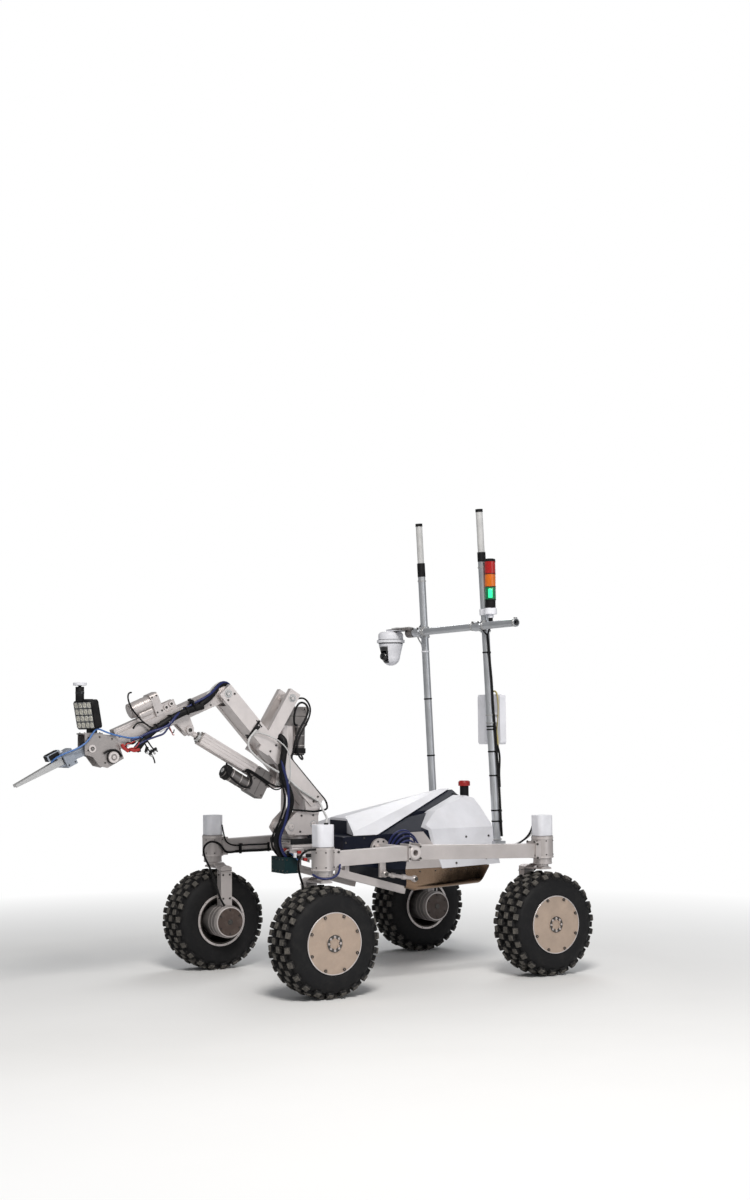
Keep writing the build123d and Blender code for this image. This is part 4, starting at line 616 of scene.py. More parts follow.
NODE_FINISHES = (
    # finish, frame nodes
    ("satin_alloy", ("rocker_beams", "rocker_pivots", "lower_braces", "arm_base", "turntable", "forearm",
                     "tie_rods", *corners("strut"))),
    ("mast_alloy", ("mast_tubes", "mast_crossbar", "mast_clamps")),
    ("bright_alloy", ("boom", "shoulder_barrel", "shoulder_rod", "elbow_barrel", "elbow_rod")),
    ("painted_shade_alloy", ("wrist_bracket",)),
    ("turned_alloy", ("column_housings", "wrist_motors")),
    ("cast_alloy", corners("hub_motor")),
    ("cover_alloy_painted_reflection", corners("rim")),
    ("mirror_alloy_painted_reflection", ("belly_pan",)),
    ("grip_alloy", ("gripper_block",)),
    ("ground_steel", ("finger_left", "finger_right")),
    ("white_shell", ("front_hood", "rear_cover")),
    ("white_cap", ("column_caps", "panel_antenna", "dome_cap", "dome_shell")),
    ("white_cable", ("antenna_rods",)),
    ("navy_panel", ("core_box", "side_panels")),
    ("gear_alloy", ("dome_bracket",)),
    ("black_mould", ("antenna_ends", "stack_base", "work_lamp")),
    ("black_cable", ("chassis_cables", "forearm_cables")),
    ("teal_paint", ("teal_box",)),
    ("red_mould", ("emergency_stop",)),
    ("knob_rubber", corners("tyre")),
    ("red_lens", ("stack_red",)),
    ("amber_lens", ("stack_amber",)),
    ("green_lens", ("stack_green",)),
    ("led_lens", ("lamp_leds",)),
    ("smoked_glass", ("dome_lens",)),
)
STOP_X, STOP_Y, STOP_STEM_R, STOP_HEAD_Z = -324.0, 60.0, 17.0, 600
TOWER_FOOT_Z, TOWER_BAND_Z = 1163.5, 1196.5
DOME_X, DOME_Y, DOME_ARM_LONG = -276.0, -326.0, 44.0
DOME_WINDOW_SLOPE, DOME_WINDOW_LOW, DOME_WINDOW_HIGH = 1.15, 1034.0, 1092.0
COVER_BACK_Y, LAMP_CAMERA_Z = 438.0, 940.5
# along the elbow actuator, where its gearbox starts and ends, and how far below its axis the motor starts
GEARBOX_FROM, GEARBOX_TO, MOTOR_EDGE = 25.5, 88.5, 28.0
# the same on the shoulder actuator, which hangs almost upright
GEARBOX_LOW, GEARBOX_HIGH = 811.0, 874.0
PAN_SIDE_Z, PAN_FLOOR_Z, PAN_DARK_X = 352.0, 340.0, -12.0
# node, second finish, which places have it
TWO_TONE = (
    ("emergency_stop", "black_mould", lambda place: place.z < STOP_HEAD_Z
     and (place.x - STOP_X) ** 2 + (place.y - STOP_Y) ** 2 < STOP_STEM_R ** 2),
    ("stack_base", "white_cap", lambda place: TOWER_FOOT_Z < place.z < TOWER_BAND_Z),
    ("elbow_barrel", "gear_alloy", lambda place: GEARBOX_FROM < ELBOW_ACTUATOR.far(place) < GEARBOX_TO),
    ("elbow_barrel", "dull_alloy", lambda place: ELBOW_ACTUATOR.far(place) > GEARBOX_TO
     and ELBOW_ACTUATOR.lift(place) < -MOTOR_EDGE),
    ("shoulder_barrel", "cast_alloy", lambda place: GEARBOX_LOW < place.z < GEARBOX_HIGH),
    ("shoulder_barrel", "dull_alloy", lambda place: place.z < GEARBOX_LOW
     and place.x < SHOULDER_ACTUATOR.start[0] - MOTOR_EDGE),
    ("work_lamp", "white_cap", lambda place: place.z > LAMP_CAMERA_Z),
    ("dome_bracket", "white_cap", lambda place: place.y < DOME_Y + DOME_ARM_LONG),
    ("dome_shell", "smoked_glass", lambda place: DOME_WINDOW_LOW < place.z < DOME_WINDOW_HIGH
     and place.x - DOME_X > abs(place.y - DOME_Y) * DOME_WINDOW_SLOPE),
    ("belly_pan", "satin_alloy", lambda place: place.z > PAN_SIDE_Z),
    ("belly_pan", "navy_panel", lambda place: place.x > PAN_DARK_X and place.z < PAN_FLOOR_Z),
    *((name, "rim_shadow", lambda place: abs(place.y) < COVER_BACK_Y) for name in corners("rim")),
)
ROUNDED_NODES = ("rocker_beams", "lower_braces", "arm_base", "turntable", "boom", "forearm", "wrist_bracket",
                 "gripper_block", "front_hood", "rear_cover", "teal_box", "panel_antenna", "work_lamp",
                 "shoulder_barrel", "elbow_barrel", "column_caps", *corners("strut"))


class ROVER_OT_frame_finishes(bpy.types.Operator):
    """Give every frame node its finish and soft machined edges"""

    bl_idname = "rover.frame_finishes"
    bl_label = "Frame finishes"

    # metres within which facets are welded, steps over an edge and degrees from which an edge is hard
    weld_reach, edge_steps, edge_angle = 0.00002, 2, 35

    def execute(self, context):
        make_finishes()
        for title, names in NODE_FINISHES:
            for name in names:
                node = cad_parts[name]
                node.data.materials.clear()
                node.data.materials.append(finish(title))
        self.tint_faces()
        for name in ROUNDED_NODES:
            self.soften(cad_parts[name], context.scene.rover_sizes.edge_radius)
        return {"FINISHED"}

    def tint_faces(self):
        """Gives the faces of two-tone nodes their second finish."""
        for name, title, picks in TWO_TONE:
            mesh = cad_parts[name].data
            mesh.materials.append(finish(title))
            for face in mesh.polygons:
                if picks(in_mm(face.center)):
                    face.material_index = len(mesh.materials) - 1

    def soften(self, node, radius):
        """Welds a node's facets and rounds its hard edges, by modifiers alone."""
        weld = node.modifiers.new("Weld", "WELD")
        weld.merge_threshold = self.weld_reach
        rounding = node.modifiers.new("Edges", "BEVEL")
        rounding.width = radius
        rounding.segments = self.edge_steps
        rounding.limit_method = "ANGLE"
        rounding.angle_limit = radians(self.edge_angle)
        rounding.harden_normals = False


class ROVER_OT_tyres(bpy.types.Operator):
    """Build the four knobbly tyres over the frame's plain ones"""

    bl_idname = "rover.tyres"
    bl_label = "Tyres"

    radius, half_width, segments = 0.165, 0.065, 96
    # radius, share of the half width: from the inner bead over the crown to the outer bead
    outline = ((0.0805, -0.86), (0.086, -0.99), (0.098, -1.04), (0.116, -1.05), (0.132, -1.00),
               (0.143, -0.90),
               (0.149, -0.74), (0.151, -0.40), (0.1515, 0.0), (0.151, 0.40), (0.149, 0.74), (0.143, 0.90),
               (0.132, 1.00), (0.116, 1.05), (0.098, 1.04), (0.0925, 1.00), (0.0925, 0.86))
    # share of the half width, half length, half width, lean over the shoulder in degrees, phase
    knob_rows = (
        (-0.83, 0.0090, 0.0085, -40, 0.25), (-0.56, 0.0085, 0.0085, -10, 0.75), (-0.20, 0.0095, 0.0095, -2,
                                                                                 0.25),
        (0.20, 0.0095, 0.0095, 2, 0.75), (0.56, 0.0085, 0.0085, 10, 0.25), (0.83, 0.0090, 0.0085, 40, 0.75),
    )
    # lean in degrees from which a knob counts as on the shoulder, and how much lower it stands
    shoulder_lean, shoulder_drop = 30, 0.006
    # share of the height and of the width at a knob's root, where its dusty top starts, and its top
    knob_levels = ((-0.75, 1.18), (0.32, 1.0), (0.5, 0.86))
    knob_corners = ((-1, -1), (1, -1), (1, 1), (-1, 1))

    def execute(self, context):
        for name in WHEEL_NAMES:
            centre = wheel_centre(name)
            outward = Vector((0, 1.0 if centre.y > 0 else -1.0, 0))
            grid = self.carcass(centre, outward)
            for row in self.knob_rows:
                self.knobs(grid, centre, outward, row, context.scene.rover_sizes)
            finishes = ("sidewall", "knob_rubber", "knob_top")
            made = piece(f"tyre_tread_{name}", grid, f"wheel_{name}", finishes)
            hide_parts(f"tyre_{name}")
        return {"FINISHED"}

    def carcass(self, centre, outward):
        """Rounded casing."""
        profile = [(radius, share * self.half_width * outward.y) for radius, share in self.outline]
        grid, levels = turned_piece(profile, self.segments, centre, LEFT)
        add_band(grid, levels[-1], levels[0])
        bmesh.ops.recalc_face_normals(grid, faces=grid.faces)
        return grid

    def knobs(self, grid, centre, outward, row, sizes):
        """One row of knobs round the tyre."""
        share, half_long, half_wide, lean, phase = row
        drop = self.shoulder_drop if abs(lean) > self.shoulder_lean else 0.0
        reach = self.radius - drop - sizes.knob_height / 2
        lean = radians(lean)
        for turn in turns(sizes.knob_count, phase):
            out = Vector((cos(turn), 0, sin(turn)))
            rise = (out * cos(lean) + outward * sin(lean)) * sizes.knob_height
            long = Vector((-sin(turn), 0, cos(turn))) * half_long
            wide = (outward * cos(lean) - out * sin(lean)) * half_wide
            middle = centre + out * reach + outward * share * self.half_width
            self.knob(grid, middle, rise, long, wide)

    def knob(self, grid, middle, rise, long, wide):
        """One tapered knob with a dusty top."""
        levels = [[grid.verts.new(middle + rise * height + (long * along + wide * side) * taper)
                   for along, side in self.knob_corners] for height, taper in self.knob_levels]
        for index, (low, high) in enumerate(zip(levels, levels[1:]), 1):
            for edge in range(4):
                after = (edge + 1) % 4
                face = grid.faces.new((low[edge], low[after], high[after], high[edge]))
                face.material_index = index
                face_outward(face, face.calc_center_median() - middle)
        top = grid.faces.new(levels[-1])
        top.material_index = len(levels) - 1
        face_outward(top, rise)


class FittingTables:
    """Turns an operator's tables into cables and small fittings, all in millimetres."""

    # name, finish, radius, body, points
    cables = ()
    # name, finish, radius, the two bodies, where the bend starts and ends, points
    bends = ()
    # name, body, slot, finishes, shapes: a function of this file with its values
    fittings = ()

    def execute(self, context):
        for name, title, radius, body, points in self.cables:
            cable(name, places(points), radius * MM, body, title)
        for name, title, radius, bodies, start, end, points in self.bends:
            bending_cable(name, places(points), radius * MM, title)
        for name, body, slot, finishes, shapes in self.fittings:
            grid = bmesh.new()
            for add, *values in shapes:
                add(grid, *values)
            piece(name, grid, body, finishes)
        return {"FINISHED"}


class ROVER_OT_wheel_covers(bpy.types.Operator):
    """Add the wheels' screws and rings, inside and outside"""

    bl_idname = "rover.wheel_covers"
    bl_label = "Wheel covers"

    # how far the cover's face, the rim's inner lip and the motor drum's end lie from the wheel's middle
    cover_face, rim_lip, drum_end = 66.0, 65.0, 130.0
    # circle's radius, how many, phase, screw's radius, height, finish
    cover_screws = ((83.5, 8, 0.5, 4.8, 4.2, 1), (20.0, 8, 0.0, 3.6, 3.6, 2))
    lip_screws = ((82.5, 12, 0.5, 1.7, 2.4, 1),)
    drum_screws = ((39.0, 6, 0.5, 3.0, 4.2, 2),)
    # inner radius, outer radius, width, finish; the dark first cover ring round the hub under the screws is a
    # painted shadow, the bright last one round the cover's edge a painted highlight
    cover_rings = ((15.4, 26.0, 0.9, 1), (26.0, 27.6, 1.4, 0), (89.4, 92.2, 1.5, 2))
    # The bright ring on the rim's inner lip is a painted highlight.
    lip_rings = ((79.0, 86.0, 1.6, 2),)
    drum_rings = ((9.0, 46.0, 1.6, 1), (0.6, 9.0, 4.0, 2), (46.0, 49.0, 2.6, 0))
    drum_ribs = ((52.8, 53.7, 2.0, 0),)
    rib_places = (8.0, 30.0, 52.0)

    def execute(self, context):
        for name in WHEEL_NAMES:
            x, y, z = in_mm(wheel_centre(name))
            out = 1 if y > 0 else -1
            outward, inward = (0, out, 0), (0, -out, 0)
            grid = bmesh.new()
            self.disc(grid, (x, y + out * self.cover_face, z), outward, self.cover_screws, self.cover_rings)
            self.disc(grid, (x, y - out * self.rim_lip, z), inward, self.lip_screws, self.lip_rings)
            piece(f"wheel_fittings_{name}", grid, f"wheel_{name}",
                  ("cover_alloy_painted_reflection", "dark_screw", "bright_alloy"))
            grid = bmesh.new()
            self.disc(grid, (x, y - out * self.drum_end, z), inward, self.drum_screws, self.drum_rings)
            for back in self.rib_places:
                ring_set(grid, (x, y - out * (self.drum_end - back), z), outward, self.drum_ribs)
            piece(f"drum_fittings_{name}", grid, f"steer_{name}",
                  ("bright_alloy", "brown_enamel", "dark_screw"))
        return {"FINISHED"}

    def disc(self, grid, centre, axis, screw_rows, ring_rows):
        """Circles of screws, and rings, round one centre."""
        for reach, count, phase, radius, height, index in screw_rows:
            screws(grid, ring_places(centre, reach, count, phase), axis, radius, height, index)
        ring_set(grid, centre, axis, ring_rows)


class ROVER_OT_columns(FittingTables, bpy.types.Operator):
    """Add the steering columns' gaskets, rings, screws and leads, and the struts' plates"""

    bl_idname = "rover.columns"
    bl_label = "Steering columns"

    half_base, half_track, cap_low = 410.0, 380.0, 444.0
    # half side, corner radius and height of the gasket under the cap
    gasket_half, gasket_corner, gasket_high = 29.0, 16.0, 2.2
    # height, inner radius, outer radius, width
    collars = ((437.0, 34.6, 36.2, 4.0), (375.5, 34.6, 36.2, 5.0), (357.0, 29.6, 31.0, 3.0))
    housing_radius, saddle_face = 34.6, 44.6
    housing_turns, housing_heights = (25, 75, 130, 200, 250, 310), (386.0, 430.0)
    # sideways and height
    saddle_screws = ((-19.0, 384.0), (19.0, 384.0), (-19.0, 428.0), (19.0, 428.0))
    # how far inboard the strut's leg and its sloping plate lie
    leg_in, plate_in = 89.0, 72.0
    # along the rover, further inboard, height
    leg_screws = ((-12.0, 15.0, 240.0), (12.0, 15.0, 240.0), (-12.0, 15.0, 318.0), (12.0, 15.0, 318.0))
    leg_end_screws = ((20.0, 0.0, 240.0), (20.0, 0.0, 318.0))
    # radius, height, finish
    housing_screw, saddle_screw = (2.3, 2.0, 2), (3.4, 3.0, 2)
    leg_screw, leg_end_screw = (3.2, 2.6, 1), (3.0, 2.4, 1)
    # size of the pad round the strut's leg and of its sloping plate, and the plate's tilt
    pad_size, plate_size, plate_tilt = (41.2, 31.2, 1.6), (76.0, 43.0, 2.4), 21.0
    pad_z, plate_z, shaft_low, shaft_high, shaft_radius = 331.0, 340.5, 347.0, 354.0, 19.0

    def execute(self, context):
        for name in WHEEL_NAMES:
            fore = 1 if name.startswith("front") else -1
            out = 1 if name.endswith("left") else -1
            self.column(name, fore, out)
            self.strut(name, fore, out)
        return super().execute(context)

    def column(self, name, fore, out):
        """The housing's rings and screws and the cap's gasket."""
        x, y = fore * self.half_base, out * self.half_track
        outline = rounded_square(x, y, self.gasket_half, self.gasket_corner)
        grid = bmesh.new()
        slab(grid, outline, self.cap_low, self.cap_low + self.gasket_high, 1)
        for z, inner, outer, width in self.collars:
            ring(grid, (x, y, z), UP, inner, outer, width, 0)
        for turn in self.housing_turns:
            axis = (cos(radians(turn)), sin(radians(turn)), 0)
            reach = self.housing_radius
            spots = [(x + axis[0] * reach, y + axis[1] * reach, z) for z in self.housing_heights]
            screws(grid, spots, axis, *self.housing_screw)
        spots = [(x - fore * self.saddle_face, y + across, z) for across, z in self.saddle_screws]
        screws(grid, spots, (-fore, 0, 0), *self.saddle_screw)
        piece(f"column_fittings_{name}", grid, "chassis", ("bright_alloy", "black_mould", "dark_screw"))

    def strut(self, name, fore, out):
        """The screws on the strut's leg, its sloping plate and the shaft above it."""
        x, y = fore * self.half_base, out * self.half_track
        leg_y = y - out * self.leg_in
        grid = bmesh.new()
        block(grid, (x, leg_y, self.pad_z), self.pad_size, 0, 0.4, 1)
        spots = [(x + along, leg_y - out * inward, z) for along, inward, z in self.leg_screws]
        screws(grid, spots, (0, -out, 0), *self.leg_screw)
        spots = [(x + fore * along, leg_y - out * inward, z) for along, inward, z in self.leg_end_screws]
        screws(grid, spots, (fore, 0, 0), *self.leg_end_screw)
        bar(grid, (x, y, self.shaft_low), (x, y, self.shaft_high), self.shaft_radius)
        place = (x, y - out * self.plate_in, self.plate_z)
        block(grid, place, self.plate_size, self.plate_tilt, 0.8, 0, 90.0 * out)
        piece(f"strut_fittings_{name}", grid, f"steer_{name}", ("bright_alloy", "dark_screw"))

    cables = (
        ("beam_lead_front_right", "black_cable", 2.6, "chassis",
         ((389, -352, 480), (384, -350, 450), (376, -350, 424), (356, -353, 411), (330, -356.5, 407),
          (280, -357, 408), (230, -357, 407), (180, -357, 408), (130, -355, 412))),
        ("beam_cable_front_right", "black_cable", 4.4, "chassis",
         ((336, -356, 387), (290, -355.5, 388), (250, -355.5, 387), (205, -355.5, 388), (160, -355, 390),
          (124, -354, 396))),
        ("cap_lead_front_left", "blue_cable", 3.4, "chassis",
         ((366, 404, 392), (378, 424, 372), (398, 428, 358), (422, 422, 353), (442, 404, 356),
          (450, 386, 366))),
        ("cap_lead_rear_left", "white_cable", 2.6, "chassis",
         ((-408, 349, 486), (-405, 347, 470), (-398, 345, 456), (-384, 345, 443), (-366, 347, 434),
          (-340, 351, 426), (-316, 356, 420), (-290, 357.4, 416), (-240, 357.4, 414), (-190, 357.4, 412))),
        ("cap_cable_rear_left", "black_cable", 3.2, "chassis",
         ((-400, 349, 492), (-396, 347, 474), (-388, 346, 456), (-374, 347, 441), (-354, 350, 430),
          (-328, 355, 420), (-300, 356.8, 410), (-250, 356.8, 404), (-190, 356.8, 402))),
    )
    bends = (
        ("motor_lead_front_right", "black_cable", 3.6, ("chassis", "steer_front_right"), (464, -344, 404),
         (456, -290, 320),
         ((330, -357, 388), (352, -355, 384), (378, -352, 388), (398, -342, 414), (424, -340, 426),
          (448, -340, 424), (464, -344, 404), (460, -338, 372), (452, -318, 344), (456, -290, 320),
          (452, -272, 290), (443, -268, 257), (434, -264, 232), (424, -262, 218))),
        ("motor_lead_rear_right", "black_cable", 3.6, ("chassis", "steer_rear_right"), (-460, -346, 388),
         (-424, -286, 316),
         ((-330, -357, 388), (-352, -355, 384), (-378, -352, 388), (-398, -342, 410), (-424, -340, 418),
          (-450, -344, 410), (-460, -346, 388), (-452, -338, 358), (-436, -312, 332), (-424, -286, 316),
          (-420, -270, 280), (-414, -264, 240), (-410, -260, 218))),
        ("motor_lead_front_left", "black_cable", 3.6, ("chassis", "steer_front_left"), (476, 390, 437),
         (434, 300, 323),
         ((440, 392, 440), (458, 396, 441), (476, 390, 437), (484, 370, 419), (480, 350, 393),
          (460, 325, 359), (434, 300, 323), (428, 278, 290), (418, 266, 250), (410, 262, 219))),
        ("motor_lead_rear_left", "black_cable", 3.6, ("chassis", "steer_rear_left"), (-452, 340, 388),
         (-426, 280, 314),
         ((-330, 357, 392), (-356, 352, 396), (-380, 342, 404), (-408, 338, 412), (-436, 340, 408),
          (-452, 340, 388), (-450, 330, 358), (-438, 306, 334), (-426, 280, 314), (-420, 268, 280),
          (-414, 262, 240), (-410, 259, 218))),
    )
    fittings = (
        # block, place, size, tilt, edge
        ("beam_ties", "chassis", "black_plastic", ("black_mould",), (
            (block, (318, -355.5, 397), (6, 12, 34), 0, 1.5),
            (block, (318, -349.5, 412), (9, 5, 6), 0, 1.0),
            (block, (210, -355.5, 398), (4, 11, 32), 0, 1.5),
        )),
    )


class ROVER_OT_body(FittingTables, bpy.types.Operator):
    """Add the rockers' and the body's screws, the pivots' rings and the body's cables"""

    bl_idname = "rover.body"
    bl_label = "Body and rockers"

    # x, reach sideways, height
    sheet_screws = ((76, 185.6, 446), (218, 185.6, 439), (218, 185.6, 380), (77, 185.6, 363),
                    (150, 185.6, 452),
                    (2, 185.6, 452), (-330, 189.6, 440), (-320, 189.6, 366), (-200, 189.6, 356), (-240,
                                                                                                  189.6, 440))
    belly_screws = tuple((x, 186.0, 335) for x in (-60, -120, -180, -240, -290))
    beam_end_screws = ((371, 405.8, 386), (371, 405.8, 430), (-371, 405.8, 377), (-371, 405.8, 421))
    clamp_screws = ((77.5, 404.8, 397), (77.5, 404.8, 433), (116.5, 404.8, 397), (116.5, 404.8, 433))
    pivot_x, pivot_z, hub_y, hub_radius = 97, 415, 200.0, 26.0
    # reach sideways, inner radius, outer radius, width, finish: round the rocker's pivot
    pivot_rings = ((404.8, 9.2, 19.0, 2.6, 0), (399.0, 9.2, 10.4, 7.0, 1))
    # x, height of the tie rod's ends, and where the lock nuts on the rod start and end
    rod_ends = ((97, 338), (-14, 317))
    lock_nuts = (((20, 323.4), (34, 326.1)), ((60, 331.0), (74, 333.7)))
    rod_y, eye_y, washer_low, washer_high = 224, 234.4, 213.4, 216.4
    washer_radius, nut_radius = 8.5, 8.2
    # inner radius, outer radius, width, finish
    eye_ring = (0.6, 6.5, 2.6, 1)
    # radius, height, finish
    sheet_screw, belly_screw, beam_screw = (3.6, 2.6, 1), (2.6, 2.0, 1), (3.8, 3.2, 1)
    clamp_screw, hub_screw = (3.2, 2.4, 1), (3.2, 2.6, 1)

    def execute(self, context):
        for side, word in ((1, "left"), (-1, "right")):
            out = (0, side, 0)
            grid = bmesh.new()
            screws(grid, on_side(self.sheet_screws, side), out, *self.sheet_screw)
            screws(grid, on_side(self.belly_screws, side), out, *self.belly_screw)
            piece(f"sheet_screws_{word}", grid, "chassis", ("bright_alloy", "dark_screw"))
            self.rocker(side, word)
        return super().execute(context)

    def rocker(self, side, word):
        """Screws and rings on a side's rocker, its pivot and its tie rod."""
        out = (0, side, 0)
        grid = bmesh.new()
        screws(grid, on_side(self.beam_end_screws, side), out, *self.beam_screw)
        screws(grid, on_side(self.clamp_screws, side), out, *self.clamp_screw)
        for y, inner, outer, width, index in self.pivot_rings:
            ring(grid, (self.pivot_x, side * y, self.pivot_z), out, inner, outer, width, index)
        hub = (self.pivot_x, side * self.hub_y, self.pivot_z)
        screws(grid, ring_places(hub, self.hub_radius, 8), out, *self.hub_screw)
        for x, z in self.rod_ends:
            ring(grid, (x, side * self.eye_y, z), out, *self.eye_ring)
            bar(grid, (x, side * self.washer_low, z), (x, side * self.washer_high, z), self.washer_radius)
        for start, end in self.lock_nuts:
            low, high = ((x, side * self.rod_y, z) for x, z in (start, end))
            bar(grid, low, high, self.nut_radius)
        piece(f"rocker_fittings_{word}", grid, "chassis", ("bright_alloy", "dark_screw"))

    cables = (
        ("body_arc_first", "blue_cable", 2.9, "chassis",
         ((72, 215, 416), (66, 225, 440), (48, 234, 462), (24, 238, 468), (-2, 236, 458), (-24, 228, 436),
          (-36, 215, 416))),
        ("body_arc_second", "blue_cable", 2.9, "chassis",
         ((66, 222, 412), (58, 236, 438), (38, 244, 454), (16, 246, 456), (-8, 242, 444), (-28, 232, 424),
          (-40, 222, 408))),
        ("body_arc_third", "blue_cable", 2.9, "chassis",
         ((78, 210, 420), (74, 218, 444), (60, 226, 466), (34, 232, 476), (6, 230, 468), (-16, 220, 444),
          (-30, 208, 422))),
        ("body_arc_fourth", "blue_cable", 2.9, "chassis",
         ((58, 226, 408), (48, 238, 430), (30, 246, 442), (8, 246, 440), (-10, 238, 424), (-22, 228, 408))),
        ("rocker_cable_rear_right", "black_cable", 3.4, "chassis",
         ((-330, -357, 388), (-270, -356.4, 391), (-200, -356.4, 394), (-120, -356.4, 397),
          (-40, -356.4, 401), (30, -354, 402), (66, -330, 408), (76, -270, 424), (80, -220, 450),
          (90, -193, 466))),
        ("rocker_cable_front_right", "black_cable", 4.2, "chassis",
         ((126, -354, 396), (110, -330, 398), (104, -280, 420), (104, -230, 450), (110, -193, 464))),
        ("stop_lead", "black_cable", 2.6, "chassis",
         ((-324, 44, 562), (-322, 36, 566), (-316, 30, 570), (-306, 24, 573), (-296, 10, 576),
          (-290, -10, 577))),
    )


